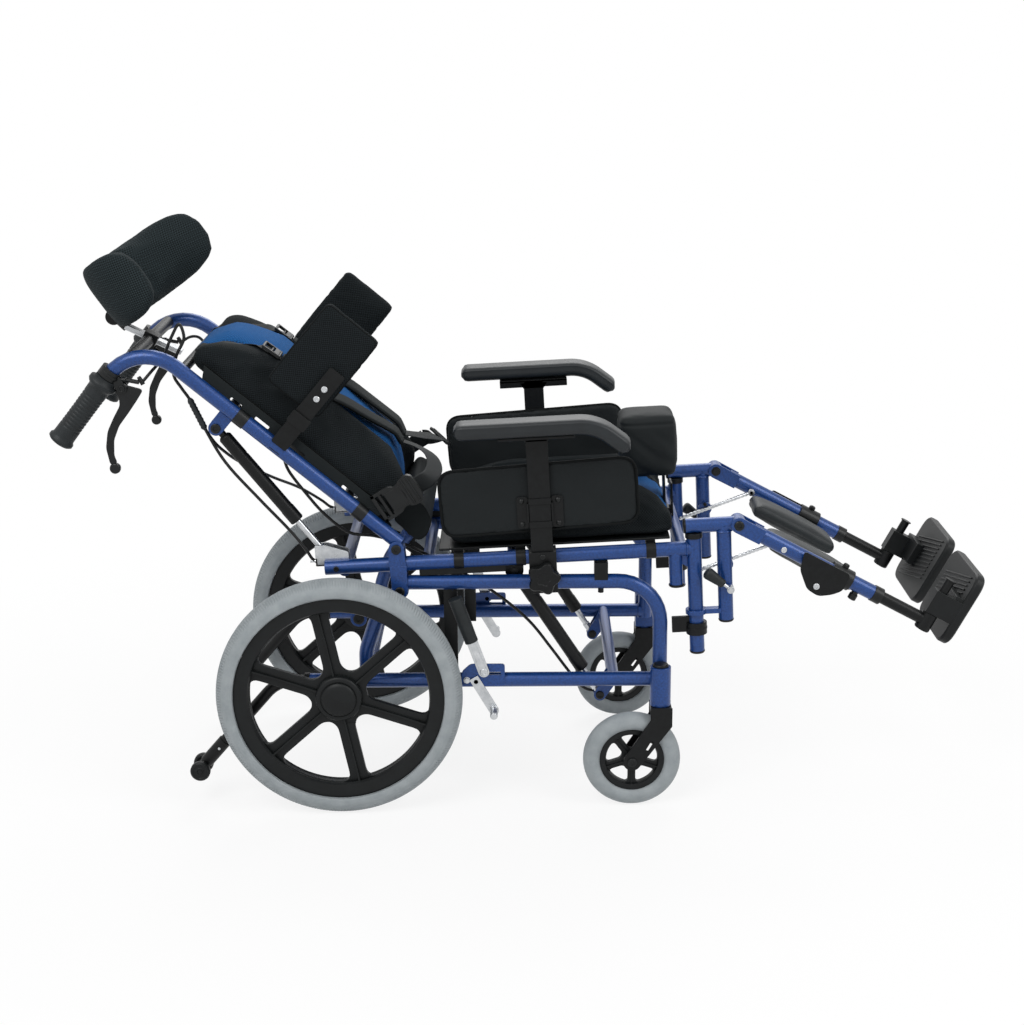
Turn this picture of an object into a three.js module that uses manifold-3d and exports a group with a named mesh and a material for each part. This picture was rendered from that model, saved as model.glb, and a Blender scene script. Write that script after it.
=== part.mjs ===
import * as THREE from 'three';
import { mergeVertices } from 'three/addons/utils/BufferGeometryUtils.js';
import Module from 'manifold-3d';

const wasm = await Module();
wasm.setup();

// A reclining, tilt in space transit wheelchair. Millimetres and degrees.
// x runs forward, y to the user's left, z up. Places are taken from the rear axle and the floor.
// The seat, back and legrests have groups of their own, whose x and z run along and square to them.

// Driving dimensions of the whole chair
const rearWheelRadius = 200;
const casterRadius = 80;
const sideOffset = 180;
const tubeRadius = 12;
const wheelOffset = 227;
const tiltPivotX = 100;
const baseRailHeight = 378;
const tiltPivotDrop = 11;
const tiltPivotHeight = baseRailHeight - tiltPivotDrop;
const seatPitch = 2.8;
const backAngle = 42.8;
const legDrop = 31;
const axleToOrigin = 299.258;

// Clearances and finish shared by all pieces
const gap = 0.3;
const overrun = 4;
const weldTolerance = 1e-4;
const lugGap = 0.6;
const lugPlate = 3.6;
const pinRadius = 5;
const boltHeadRadius = 8;
const boltHeadHeight = 3;
const degree = Math.PI / 180;
const fullTurn = 2 * Math.PI;
const roundSides = 10;
const pinSides = 8;
const eyeSides = 12;
const boreSides = 16;

// Solids: joining, cutting, mirroring and placing

function toSolid(geometry) {
  const bare = new THREE.BufferGeometry();
  bare.setAttribute('position', geometry.getAttribute('position'));
  if (geometry.index) bare.setIndex(geometry.index);
  const merged = mergeVertices(bare, weldTolerance);
  const index = Array.from(merged.index.array);
  const corners = [];
  for (let i = 0; i < index.length; i += 3) {
    const [a, b, c] = index.slice(i, i + 3);
    if (a !== b && b !== c && c !== a) corners.push(a, b, c);
  }
  const places = Float32Array.from(merged.getAttribute('position').array);
  const triangles = Uint32Array.from(corners);
  return new wasm.Manifold(new wasm.Mesh({ numProp: 3, vertProperties: places, triVerts: triangles }));
}

function toGeometry(solid) {
  const mesh = solid.getMesh();
  const geometry = new THREE.BufferGeometry();
  geometry.setAttribute('position', new THREE.BufferAttribute(mesh.vertProperties, 3));
  geometry.setIndex(new THREE.BufferAttribute(mesh.triVerts, 1));
  return geometry;
}

function join(...pieces) {
  return toGeometry(pieces.map(toSolid).reduce((sum, piece) => sum.add(piece)));
}

function cut(body, ...tools) {
  return toGeometry(tools.map(toSolid).reduce((rest, tool) => rest.subtract(tool), toSolid(body)));
}

function mirrored(geometry) {
  const copy = geometry.clone();
  copy.applyMatrix4(new THREE.Matrix4().makeScale(1, -1, 1));
  if (copy.index) {
    const index = Array.from(copy.index.array);
    for (let i = 0; i < index.length; i += 3) [index[i], index[i + 1]] = [index[i + 1], index[i]];
    copy.setIndex(index);
    return copy;
  }
  const places = copy.getAttribute('position');
  const point = new THREE.Vector3();
  const other = new THREE.Vector3();
  for (let i = 0; i < places.count; i += 3) {
    point.fromBufferAttribute(places, i);
    other.fromBufferAttribute(places, i + 1);
    places.setXYZ(i, other.x, other.y, other.z);
    places.setXYZ(i + 1, point.x, point.y, point.z);
  }
  return copy;
}

function add(parent, name, geometry, material) {
  const mesh = new THREE.Mesh(geometry, material);
  mesh.name = name;
  parent.add(mesh);
}

function addPair(parent, name, geometry, material) {
  add(parent, `${name}_left`, geometry, material);
  add(parent, `${name}_right`, mirrored(geometry), material);
}

// Shapes

// A round bar between two points; its far end may have another radius.
function rod(from, to, radius, sides = roundSides, farRadius = radius) {
  const start = new THREE.Vector3(...from);
  const end = new THREE.Vector3(...to);
  const along = end.clone().sub(start);
  const geometry = new THREE.CylinderGeometry(farRadius, radius, along.length(), sides);
  const turn = new THREE.Quaternion().setFromUnitVectors(new THREE.Vector3(0, 1, 0),
    along.clone().normalize());
  geometry.applyQuaternion(turn);
  geometry.translate(...start.add(end).multiplyScalar(0.5).toArray());
  return geometry;
}

// A round bar along y between two distances from the middle plane.
function crossRod(x, z, near, far, radius, sides = roundSides) {
  return rod([x, near, z], [x, far, z], radius, sides);
}

// A block between two opposite corners.
function block(low, high) {
  const size = high.map((value, i) => value - low[i]);
  const geometry = new THREE.BoxGeometry(...size);
  geometry.translate(...low.map((value, i) => value + size[i] / 2));
  return geometry;
}

// A path through hand-picked stations, one extrusion step from each to the next.
class StationPath extends THREE.Curve {
  constructor(stations) {
    super();
    this.stations = stations;
  }

  getPoint(t, target = new THREE.Vector3()) {
    const place = t * (this.stations.length - 1);
    const index = Math.min(Math.floor(place), this.stations.length - 2);
    return target.lerpVectors(this.stations[index], this.stations[index + 1], place - index);
  }

  getPointAt(t, target) {
    return this.getPoint(t, target);
  }

  getSpacedPoints() {
    return this.stations;
  }

  getTangentAt(t, target = new THREE.Vector3()) {
    const index = Math.round(t * (this.stations.length - 1));
    const before = this.stations[Math.max(index - 1, 0)];
    const after = this.stations[Math.min(index + 1, this.stations.length - 1)];
    return target.subVectors(after, before).normalize();
  }
}

// The stations of a path whose corners are rounded to a bend radius.
function bendStations(points, bendRadius, bendSteps) {
  const corners = points.map((point) => new THREE.Vector3(...point));
  const stations = [corners[0]];
  for (let i = 1; i < corners.length - 1; i += 1) {
    const into = corners[i].clone().sub(corners[i - 1]).normalize();
    const out = corners[i + 1].clone().sub(corners[i]).normalize();
    const half = into.angleTo(out) / 2;
    const reach = bendRadius * Math.tan(half);
    const start = corners[i].clone().addScaledVector(into, -reach);
    const inward = out.clone().sub(into).normalize();
    const centre = corners[i].clone().addScaledVector(inward, bendRadius / Math.cos(half));
    const spoke = start.clone().sub(centre);
    for (let step = 0; step <= bendSteps; step += 1) {
      const angle = (2 * half * step) / bendSteps;
      const turned = spoke.clone().multiplyScalar(Math.cos(angle));
      stations.push(centre.clone().add(turned.addScaledVector(into, bendRadius * Math.sin(angle))));
    }
  }
  stations.push(corners[corners.length - 1]);
  return stations;
}

function circleShape(radius, sides) {
  const points = [];
  for (let i = 0; i < sides; i += 1) {
    const angle = (fullTurn * i) / sides;
    points.push(new THREE.Vector2(radius * Math.cos(angle), radius * Math.sin(angle)));
  }
  return new THREE.Shape(points);
}

// A round tube or cord along points, with its corners bent.
function bentTube(points, radius, bendRadius, { sides = roundSides, bendSteps = 5 } = {}) {
  const stations = bendStations(points, bendRadius, bendSteps);
  const path = new StationPath(stations);
  return new THREE.ExtrudeGeometry(circleShape(radius, sides), { steps: stations.length - 1,
    extrudePath: path });
}

// A closed outline whose corners are rounded to a radius.
function roundedShape(points, radius) {
  const shape = new THREE.Shape();
  const count = points.length;
  for (let i = 0; i < count; i += 1) {
    const corner = new THREE.Vector2(...points[i]);
    const before = new THREE.Vector2(...points[(i + count - 1) % count]);
    const after = new THREE.Vector2(...points[(i + 1) % count]);
    const backLength = Math.min(radius, corner.distanceTo(before) / 2);
    const frontLength = Math.min(radius, corner.distanceTo(after) / 2);
    const start = corner.clone().addScaledVector(before.sub(corner).normalize(), backLength);
    const end = corner.clone().addScaledVector(after.sub(corner).normalize(), frontLength);
    if (i === 0) shape.moveTo(start.x, start.y);
    else shape.lineTo(start.x, start.y);
    shape.quadraticCurveTo(corner.x, corner.y, end.x, end.y);
  }
  return shape;
}

// A plate cut to an outline in x and z, between two distances from the middle plane.
function sidePlate(outline, near, far, cornerRadius = 0, curveSegments = 3) {
  const shape = cornerRadius
    ? roundedShape(outline, cornerRadius)
    : new THREE.Shape(outline.map((point) => new THREE.Vector2(...point)));
  const geometry = new THREE.ExtrudeGeometry(shape, { depth: far - near, bevelEnabled: false,
    curveSegments });
  geometry.rotateX(Math.PI / 2);
  geometry.translate(0, far, 0);
  return geometry;
}

// A lug: a plate with a round end about a pivot and a straight root across its width.
function lugOutline(pivotX, pivotZ, radius, rootX, rootZ, rootHalf, arcSteps = 4) {
  const toRoot = Math.atan2(rootZ - pivotZ, rootX - pivotX);
  const points = [];
  for (let i = 0; i <= arcSteps; i += 1) {
    const angle = toRoot + Math.PI / 2 + (Math.PI * i) / arcSteps;
    points.push([pivotX + radius * Math.cos(angle), pivotZ + radius * Math.sin(angle)]);
  }
  const acrossX = -Math.sin(toRoot) * rootHalf;
  const acrossZ = Math.cos(toRoot) * rootHalf;
  points.push([rootX - acrossX, rootZ - acrossZ], [rootX + acrossX, rootZ + acrossZ]);
  return points;
}

// A lathe turned about y, its faces tangent to the given radii.
function turned(profile, segments) {
  const outward = 1 / Math.cos(Math.PI / segments);
  const points = profile.map(([radius, along]) => new THREE.Vector2(radius * outward, along));
  const geometry = new THREE.LatheGeometry(points, segments);
  geometry.rotateY(Math.PI / segments);
  return geometry;
}

// A padded form: a crowned top, sides drawn in between the corners, rounded edges and pressed channels.
function cushion({ length, width, thickness, crown, drawn, edge, corner, along, across, levels, press }) {
  const cells = [along.length - 1, across.length - 1, levels.length - 1];
  const geometry = new THREE.BoxGeometry(1, 1, 1, ...cells);
  const places = geometry.getAttribute('position');
  for (let i = 0; i < places.count; i += 1) {
    const a = along[Math.round((places.getX(i) + 0.5) * cells[0])];
    const b = across[Math.round((places.getY(i) + 0.5) * cells[1])];
    const c = levels[Math.round((places.getZ(i) + 0.5) * cells[2])];
    const cornerPull = corner * a ** 6 * b ** 6;
    const bulge = edge * (1 - c * c);
    const lengthHalf = length / 2 - edge - drawn * (1 - b * b) * a ** 4 - cornerPull;
    const widthHalf = width / 2 - edge - drawn * (1 - a * a) * b ** 4 - cornerPull;
    const x = a * lengthHalf + (Math.abs(a) === 1 ? Math.sign(a) * bulge : 0);
    const y = b * widthHalf + (Math.abs(b) === 1 ? Math.sign(b) * bulge : 0);
    const dome = (1 - a ** 4) * (1 - b ** 4);
    const rise = c > 0 ? crown * dome * c : 0;
    const channel = press && c === 1 ? press(a, b) * dome : 0;
    places.setXYZ(i, x, y, (c * thickness) / 2 + rise - channel);
  }
  return geometry;
}

// Finishes
function finish(color, roughness, metalness) {
  return new THREE.MeshStandardMaterial({ color, roughness, metalness });
}
const blueFrame = () => finish(0x1c3f9c, 0.3, 0.6);
const blackSteel = () => finish(0x17191b, 0.45, 0.4);
const blackPlastic = () => finish(0x1e2122, 0.55, 0);
const greyTyre = () => finish(0x969c9e, 0.75, 0);
const bareSteel = () => finish(0xb9bbbd, 0.3, 0.9);
const darkMesh = () => finish(0x1b1d1e, 0.95, 0);
const blackVinyl = () => finish(0x202426, 0.6, 0);
const greyTube = () => finish(0x2b2f31, 0.4, 0.5);

// Groups
const chair = new THREE.Group();
const base = new THREE.Group();
base.position.x = -axleToOrigin;
chair.add(base);
const seat = new THREE.Group();
seat.position.set(tiltPivotX, 0, tiltPivotHeight);
seat.rotation.y = -seatPitch * degree;
base.add(seat);

// Rear wheels
const rearWheelHeight = rearWheelRadius;
const tyreSectionRadius = 21;
const tyreSeatRadius = 165;
const tyreSegments = 36;
const rimDepth = 18;
const rimHalfWidth = 15;
const webHalfWidth = 7;
const spokeCount = 6;
const spokeHalfWidth = 12;
const spokePhase = 42;
const hubRadius = 27;
const hubInner = 20;
const hubOuter = 16;
const hubCapRadius = 20;
const hubCapRise = 7;
const axleRadius = 8;
const axleReach = 10;
const windowRootGap = 16;
const windowRimGap = 2;

// A round tyre section on a cylindrical seat, its tread flat between the two middle points.
function tyreProfile(wheelRadius, sectionRadius, seatRadius, arcSteps) {
  const middle = wheelRadius - sectionRadius;
  const cutAngle = Math.acos((seatRadius - middle) / sectionRadius);
  const points = [];
  for (let i = 0; i <= arcSteps; i += 1) {
    const angle = -cutAngle + (2 * cutAngle * i) / arcSteps;
    const tread = Math.abs(2 * i - arcSteps) === 1;
    points.push([tread ? wheelRadius : middle + sectionRadius * Math.cos(angle),
      sectionRadius * Math.sin(angle)]);
  }
  points.push(points[0]);
  return points;
}

// A flat web with a rounded window between each pair of spokes.
function spokedWeb(outerRadius, windowOuter, windowInner, spokeHalf, count, phase, halfWidth, cornerRadius) {
  const web = circleShape(outerRadius, boreSides);
  const arcSteps = 2;
  for (let spoke = 0; spoke < count; spoke += 1) {
    const start = phase * degree + (fullTurn * spoke) / count;
    const end = start + fullTurn / count;
    const points = [];
    const outerPinch = Math.asin(spokeHalf / windowOuter);
    const innerPinch = Math.asin(spokeHalf / windowInner);
    for (let i = 0; i <= arcSteps; i += 1) {
      const angle = start + outerPinch + ((end - start - 2 * outerPinch) * i) / arcSteps;
      points.push([windowOuter * Math.cos(angle), windowOuter * Math.sin(angle)]);
    }
    points.push([windowInner * Math.cos(end - innerPinch), windowInner * Math.sin(end - innerPinch)]);
    points.push([windowInner * Math.cos(start + innerPinch), windowInner * Math.sin(start + innerPinch)]);
    web.holes.push(new THREE.Path(roundedShape(points, cornerRadius).getPoints(1)));
  }
  const geometry = new THREE.ExtrudeGeometry(web, { depth: 2 * halfWidth, bevelEnabled: false });
  geometry.rotateX(Math.PI / 2);
  geometry.translate(0, halfWidth, 0);
  return geometry;
}

function makeRearTyre() {
  const profile = tyreProfile(rearWheelRadius, tyreSectionRadius, tyreSeatRadius, 5);
  return turned(profile, tyreSegments).translate(0, wheelOffset, rearWheelHeight);
}

function makeRearWheel() {
  const rimOuter = tyreSeatRadius - gap;
  const rimInner = rimOuter - rimDepth;
  const lip = rimHalfWidth + gap;
  const rim = turned([
    [rimInner, -lip], [rimOuter, -rimHalfWidth], [rimOuter, rimHalfWidth], [rimInner, lip], [rimInner, -lip],
  ], tyreSegments);
  const windowInner = hubRadius + windowRootGap;
  const web = spokedWeb(rimInner + rimDepth / 2, rimInner - windowRimGap, windowInner, spokeHalfWidth,
    spokeCount,
    spokePhase, webHalfWidth, spokeHalfWidth);
  const hub = turned([
    [0, -hubInner], [hubRadius, -hubInner], [hubRadius, hubOuter], [hubCapRadius, hubOuter + hubCapRise / 2],
    [0, hubOuter + hubCapRise],
  ], boreSides);
  const bore = crossRod(0, 0, -hubInner - overrun, axleReach + gap, axleRadius + gap, boreSides);
  return cut(join(rim, web, hub), bore).translate(0, wheelOffset, rearWheelHeight);
}

addPair(base, 'rear_tyre', makeRearTyre(), greyTyre());
addPair(base, 'rear_wheel', makeRearWheel(), blackPlastic());

// Casters
const casterPivotX = 522;
const casterOffset = 203;
const casterTrail = 46;
const casterAxleX = casterPivotX - casterTrail;
const casterTyreRadius = 16;
const casterSeatRadius = 62;
const casterRimDepth = 9;
const casterWebHalf = 6;
const casterSpokes = 5;
const casterSegments = 24;
const casterSpokeHalf = 6;
const casterHubRadius = 13;
const casterHubHalf = 16.5;
const casterBoltRadius = 5;
const forkCrownRise = 83;
const forkCrownThick = 10;
const forkCrownHalfLength = 24;
const forkPlateThick = 4;
const forkSideGap = 1.2;
const forkEndRadius = 14;
const stemRadius = 8;
const stemLength = 56;
const forkHeadHeight = 3;

function makeCasterWheel() {
  const rimInner = casterSeatRadius - casterRimDepth;
  const rimHalf = casterTyreRadius / 2;
  const arc = tyreProfile(casterRadius, casterTyreRadius, casterSeatRadius, 5).slice(0, -1);
  const tyre = turned([[rimInner, -rimHalf], ...arc, [rimInner, rimHalf], [rimInner, -rimHalf]],
    casterSegments);
  const web = spokedWeb(rimInner + casterRimDepth / 2, rimInner - windowRimGap,
    casterHubRadius + casterSpokeHalf,
    casterSpokeHalf, casterSpokes, spokePhase, casterWebHalf, casterSpokeHalf);
  const hub = crossRod(0, 0, -casterHubHalf, casterHubHalf, casterHubRadius);
  const bore = crossRod(0, 0, -casterHubHalf - overrun, casterHubHalf + overrun, casterBoltRadius + gap);
  return cut(join(tyre, web, hub), bore).translate(casterAxleX, casterOffset, casterRadius);
}

function makeCasterFork() {
  const crownLow = casterRadius + forkCrownRise;
  const crownTop = crownLow + forkCrownThick;
  const inner = casterTyreRadius + forkSideGap;
  const outer = inner + forkPlateThick;
  const crown = block(
    [casterPivotX - forkCrownHalfLength, casterOffset - outer, crownLow],
    [casterPivotX + forkCrownHalfLength, casterOffset + outer, crownTop],
  );
  const outline = lugOutline(casterAxleX, casterRadius, forkEndRadius, casterPivotX, crownTop,
    forkCrownHalfLength);
  const far = sidePlate(outline, casterOffset + inner, casterOffset + outer);
  const near = sidePlate(outline, casterOffset - outer, casterOffset - inner);
  const flush = block(
    [casterAxleX, casterOffset - outer - overrun, crownTop],
    [casterPivotX + 2 * forkCrownHalfLength, casterOffset + outer + overrun, crownTop + forkCrownHalfLength],
  );
  const stem = rod([casterPivotX, casterOffset, crownLow], [casterPivotX, casterOffset,
    crownTop + stemLength],
    stemRadius);
  const bolt = crossRod(casterAxleX, casterRadius, casterOffset - outer, casterOffset + outer,
    casterBoltRadius,
    pinSides);
  const head = crossRod(casterAxleX, casterRadius, casterOffset + outer,
    casterOffset + outer + forkHeadHeight,
    boltHeadRadius, pinSides);
  const nut = crossRod(casterAxleX, casterRadius, casterOffset - outer - forkHeadHeight, casterOffset - outer,
    boltHeadRadius, 6);
  return join(cut(join(crown, far, near), flush), stem, bolt, head, nut);
}

addPair(base, 'caster_wheel', makeCasterWheel(), greyTyre());
addPair(base, 'caster_fork', makeCasterFork(), blackSteel());

// Base frame
const lowerRailHeight = 210;
const postBend = 70;
const stubRearX = -60;
const stubBoreDepth = 40;
const antitipTubeRadius = 9.5;
const barrelRadius = 17;
const barrelHeight = 66;
const barrelCapHeight = 5;
const uprightFootX = 42;
const pivotEyeRadius = 14;
const axleBossRadius = 15;
const axleWebHalf = 7;
const strutPostX = 181;
const strutPostWidth = 22;
const strutPostThick = 8;
const upperCrossX = 140;
const lowerCrossX = 42;
const frontCrossX = 446;
const crossTubeRadius = 10;
const brakePlateRearX = 198;
const brakePlateFrontX = 268;
const brakePlateRise = 31;
const brakePlateTop = lowerRailHeight + brakePlateRise;
const brakePlateThick = 4;
const brakeSlotLength = 24;
const brakeSlotHeight = 6;
const guidePlateX = 204;
const guidePlateWidth = 18;
const guidePlateDrop = 58;
const tiltStopX = 414;
const tiltStopLength = 22;
const tiltStopHalfWidth = 11;
const tiltStopHeight = 21.6;
const tiltStopNutDrop = 7;
const tiltStrutOffset = 155;
const tiltStrutFootX = 425;
const tiltStrutFootDrop = 34;
const tiltStrutFootHeight = lowerRailHeight - tiltStrutFootDrop;
const tiltFootRadius = 10;
const tiltFootHalf = 7.3;
const tiltFootThick = 3;

function makeBaseSide() {
  const y = sideOffset;
  const upper = bentTube([
    [tiltPivotX - tubeRadius / 2, y, baseRailHeight], [casterPivotX, y, baseRailHeight],
    [casterPivotX, y, lowerRailHeight - tubeRadius],
  ], tubeRadius, postBend, { bendSteps: 6 });
  const lower = rod([stubRearX, y, lowerRailHeight], [casterPivotX, y, lowerRailHeight], tubeRadius);
  const upright = rod([uprightFootX, y, lowerRailHeight], [tiltPivotX, y, tiltPivotHeight], tubeRadius);
  const eye = crossRod(tiltPivotX, tiltPivotHeight, y - tubeRadius, y + tubeRadius, pivotEyeRadius);
  const boss = crossRod(0, rearWheelHeight, y - tubeRadius, wheelOffset - hubInner - gap, axleBossRadius);
  const axle = crossRod(0, rearWheelHeight, y, wheelOffset + axleReach, axleRadius, pinSides);
  const web = block([-axleWebHalf, y - axleWebHalf, rearWheelHeight],
    [axleWebHalf, y + axleWebHalf, lowerRailHeight]);
  const barrelLow = casterRadius + forkCrownRise + forkCrownThick + gap;
  const barrelTop = barrelLow + barrelHeight;
  const barrel = rod([casterPivotX, casterOffset, barrelLow], [casterPivotX, casterOffset, barrelTop],
    barrelRadius);
  const cap = rod([casterPivotX, casterOffset, barrelTop - overrun], [casterPivotX, casterOffset,
    barrelTop + barrelCapHeight], barrelRadius - barrelCapHeight);
  const post = block([strutPostX - strutPostWidth / 2, y - strutPostThick / 2, lowerRailHeight],
    [strutPostX + strutPostWidth / 2, y + strutPostThick / 2, baseRailHeight]);
  const plateInner = y + tubeRadius - brakePlateThick / 2;
  const plate = block([brakePlateRearX, plateInner, lowerRailHeight - tubeRadius / 2],
    [brakePlateFrontX, plateInner + brakePlateThick, brakePlateTop]);
  const guide = block([guidePlateX, y - tubeRadius, baseRailHeight - tubeRadius - guidePlateDrop],
    [guidePlateX + guidePlateWidth, y - tubeRadius + brakePlateThick, baseRailHeight]);
  const stop = block([tiltStopX, y - tiltStopHalfWidth, baseRailHeight],
    [tiltStopX + tiltStopLength, y + tiltStopHalfWidth, baseRailHeight + tubeRadius + tiltStopHeight]);
  const stopMiddle = tiltStopX + tiltStopLength / 2;
  const stopNut = rod([stopMiddle, y, baseRailHeight], [stopMiddle, y, baseRailHeight - tubeRadius
    - tiltStopNutDrop], boltHeadRadius - boltHeadHeight, 6);
  const foot = cheeks(lugOutline(tiltStrutFootX, tiltStrutFootHeight, tiltFootRadius, frontCrossX,
    lowerRailHeight, tiltFootRadius), tiltStrutOffset, tiltFootHalf, tiltFootThick);
  const footOuter = tiltFootHalf + tiltFootThick;
  const footPin = crossRod(tiltStrutFootX, tiltStrutFootHeight, tiltStrutOffset - footOuter, tiltStrutOffset
    + footOuter, pinRadius, pinSides);
  const slotMiddle = (lowerRailHeight + tubeRadius + brakePlateTop) / 2;
  const slot = block([brakePlateFrontX - tubeRadius / 2 - brakeSlotLength, plateInner - overrun,
    slotMiddle - brakeSlotHeight / 2], [brakePlateFrontX - tubeRadius / 2, plateInner + 2 * brakePlateThick,
    slotMiddle + brakeSlotHeight / 2]);
  const eyeBore = crossRod(tiltPivotX, tiltPivotHeight, y - 2 * tubeRadius, y + 2 * tubeRadius,
    pinRadius + gap);
  const stubBore = rod([stubRearX - overrun, y, lowerRailHeight], [stubRearX + stubBoreDepth, y,
    lowerRailHeight],
    antitipTubeRadius + gap, boreSides);
  const stemBore = rod([casterPivotX, casterOffset, barrelLow - overrun], [casterPivotX, casterOffset,
    barrelLow + stemLength + gap], stemRadius + gap, boreSides);
  const whole = join(upper, lower, upright, eye, boss, axle, web, barrel, cap, post, plate, guide, stop,
    stopNut,
    ...foot, footPin, ...brakePins());
  return cut(whole, eyeBore, stubBore, stemBore, slot);
}

function makeBaseFrame() {
  const side = makeBaseSide();
  const reach = sideOffset;
  const crosses = [
    crossRod(upperCrossX, baseRailHeight, -reach, reach, crossTubeRadius, pinSides),
    crossRod(lowerCrossX, lowerRailHeight, -reach, reach, crossTubeRadius, pinSides),
    crossRod(frontCrossX, lowerRailHeight, -reach, reach, crossTubeRadius, pinSides),
  ];
  return join(side, mirrored(side), ...crosses);
}

// Anti tip tubes, each with a pair of small wheels on one axle
const antitipBendX = -105;
const antitipEndX = -237;
const antitipEndHeight = 59;
const antitipBend = 60;
const antitipWheelRadius = 16.5;
const antitipWheelWidth = 12;
const antitipHubHalf = 12;
const antitipSleeveRadius = 9;
const antitipAxleRadius = 4;

function makeAntitipTube() {
  const y = sideOffset;
  const tube = bentTube([
    [stubRearX + stubBoreDepth - gap, y, lowerRailHeight], [antitipBendX, y, lowerRailHeight],
    [antitipEndX, y, antitipEndHeight],
  ], antitipTubeRadius, antitipBend, { bendSteps: 3 });
  const sleeve = crossRod(antitipEndX, antitipEndHeight, y - antitipHubHalf, y + antitipHubHalf,
    antitipSleeveRadius);
  const bore = crossRod(antitipEndX, antitipEndHeight, y - 2 * antitipHubHalf, y + 2 * antitipHubHalf,
    antitipAxleRadius + gap, eyeSides);
  return cut(join(tube, sleeve), bore);
}

function makeAntitipWheels() {
  const inner = antitipHubHalf + gap;
  const outer = inner + antitipWheelWidth;
  const wheel = (near, far) => crossRod(antitipEndX, antitipEndHeight, near, far, antitipWheelRadius,
    boreSides);
  const axle = crossRod(antitipEndX, antitipEndHeight, sideOffset - outer, sideOffset + outer,
    antitipAxleRadius,
    pinSides);
  return join(wheel(sideOffset - outer, sideOffset - inner), wheel(sideOffset + inner,
    sideOffset + outer), axle);
}

// Parking brakes
const brakeLeverPivotX = 234;
const brakeLeverPivotRise = 20;
const brakeLeverPivotHeight = lowerRailHeight + brakeLeverPivotRise;
const brakeShoePivotX = 221;
const brakeShoePivotRise = 2;
const brakeShoePivotHeight = lowerRailHeight + brakeShoePivotRise;
const brakePinRadius = 4;
const brakeLeverThick = 3;
const brakeLeverLength = 135;
const brakeLeverLean = 19.5;
const brakeGripLength = 78;
const brakeGripRadius = 12;
const brakeLeverHalf = 9;
const brakeShoeReach = 58;
const brakeShoeDrop = 60;
const brakeShoeHalf = 8;
const brakeShoeBarRadius = 6;
const brakeShoeBarLength = 30;

function brakePlateFace() {
  return sideOffset + tubeRadius + brakePlateThick / 2;
}

function brakePins() {
  const face = brakePlateFace();
  const shoePin = crossRod(brakeShoePivotX, brakeShoePivotHeight, face - brakePlateThick,
    face + brakeLeverThick
    + gap, brakePinRadius, pinSides);
  const leverPin = crossRod(brakeLeverPivotX, brakeLeverPivotHeight, face - brakePlateThick,
    face + 2 * brakeLeverThick + 2 * gap, brakePinRadius, pinSides);
  return [shoePin, leverPin];
}

function makeBrakeShoe() {
  const inner = brakePlateFace() + gap;
  const outer = inner + brakeLeverThick;
  const drop = -brakeShoeDrop * degree;
  const endX = brakeShoePivotX + brakeShoeReach * Math.cos(drop);
  const endZ = brakeShoePivotHeight + brakeShoeReach * Math.sin(drop);
  const arm = sidePlate(lugOutline(endX, endZ, brakeShoeHalf,
    brakeShoePivotX - brakeShoeHalf * Math.cos(drop),
    brakeShoePivotHeight - brakeShoeHalf * Math.sin(drop), brakeShoeHalf), inner, outer);
  const bar = crossRod(endX, endZ, inner, inner + brakeShoeBarLength, brakeShoeBarRadius, pinSides);
  const bore = crossRod(brakeShoePivotX, brakeShoePivotHeight, inner - overrun, outer + overrun,
    brakePinRadius + gap, eyeSides);
  return cut(join(arm, bar), bore);
}

function makeBrakeLever() {
  const inner = brakePlateFace() + brakeLeverThick + 2 * gap;
  const outer = inner + brakeLeverThick;
  const middle = (inner + outer) / 2;
  const leanX = -Math.sin(brakeLeverLean * degree);
  const leanZ = Math.cos(brakeLeverLean * degree);
  const at = (distance) => [brakeLeverPivotX + leanX * distance, middle + brakeLeverHalf / 2,
    brakeLeverPivotHeight + leanZ * distance];
  const bar = sidePlate(lugOutline(brakeLeverPivotX, brakeLeverPivotHeight, brakeLeverHalf,
    brakeLeverPivotX + leanX * (brakeLeverLength - brakeGripLength / 2),
    brakeLeverPivotHeight + leanZ * (brakeLeverLength - brakeGripLength / 2), brakeLeverHalf), inner, outer);
  const grip = rod(at(brakeLeverLength - brakeGripLength), at(brakeLeverLength), brakeGripRadius);
  const bore = crossRod(brakeLeverPivotX, brakeLeverPivotHeight, inner - overrun, outer + overrun,
    brakePinRadius + gap, eyeSides);
  return cut(join(bar, grip), bore);
}

add(base, 'base_frame', makeBaseFrame(), blueFrame());
addPair(base, 'antitip_tube', makeAntitipTube(), blackSteel());
addPair(base, 'antitip_wheel', makeAntitipWheels(), blackPlastic());
addPair(base, 'parking_brake_lever', makeBrakeLever(), bareSteel());
addPair(base, 'parking_brake_shoe', makeBrakeShoe(), bareSteel());

// Seat frame, in the seat's own frame with the tilt pivot at its origin
const seatRailHeight = 42.5;
const seatRailRearX = -119;
const frontPostX = 477.5;
const frontPostLow = -132;
const frontPostTop = 62;
const reclinePivotX = -1;
const reclinePivotZ = 71;
const lugRadius = 12.5;
const lugRootHalf = 14;
const strutCrossX = 186;
const strutHeadZ = 16;
const strutHeadRadius = 8;
const strutHeadHalf = 7;
const strutCheekThick = 3;
const strutCheekHalfWidth = 15;
const rearCrossX = -88;
const rearCrossZ = 36;
const reclineFootX = -115;
const reclineFootZ = 59;
const reclineStrutOffset = 165;
const bracketRearX = -134;
const bracketFrontX = -80;
const bracketTop = 78;
const armPostX = 233;
const armPostHalfLength = 17.5;
const armPostHalfThick = 4;
const armPostOffset = 211;
const socketHalfLength = 22;
const socketWall = 4;
const socketLow = -8;
const socketTop = 60;
const starRadius = 24;
const starDepth = 6;
const starLobes = 5;
const starThick = 14;
const knobZ = 12;
const boardRearX = 66;
const boardFrontX = 440;
const boardHalfWidth = 172;
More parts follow.
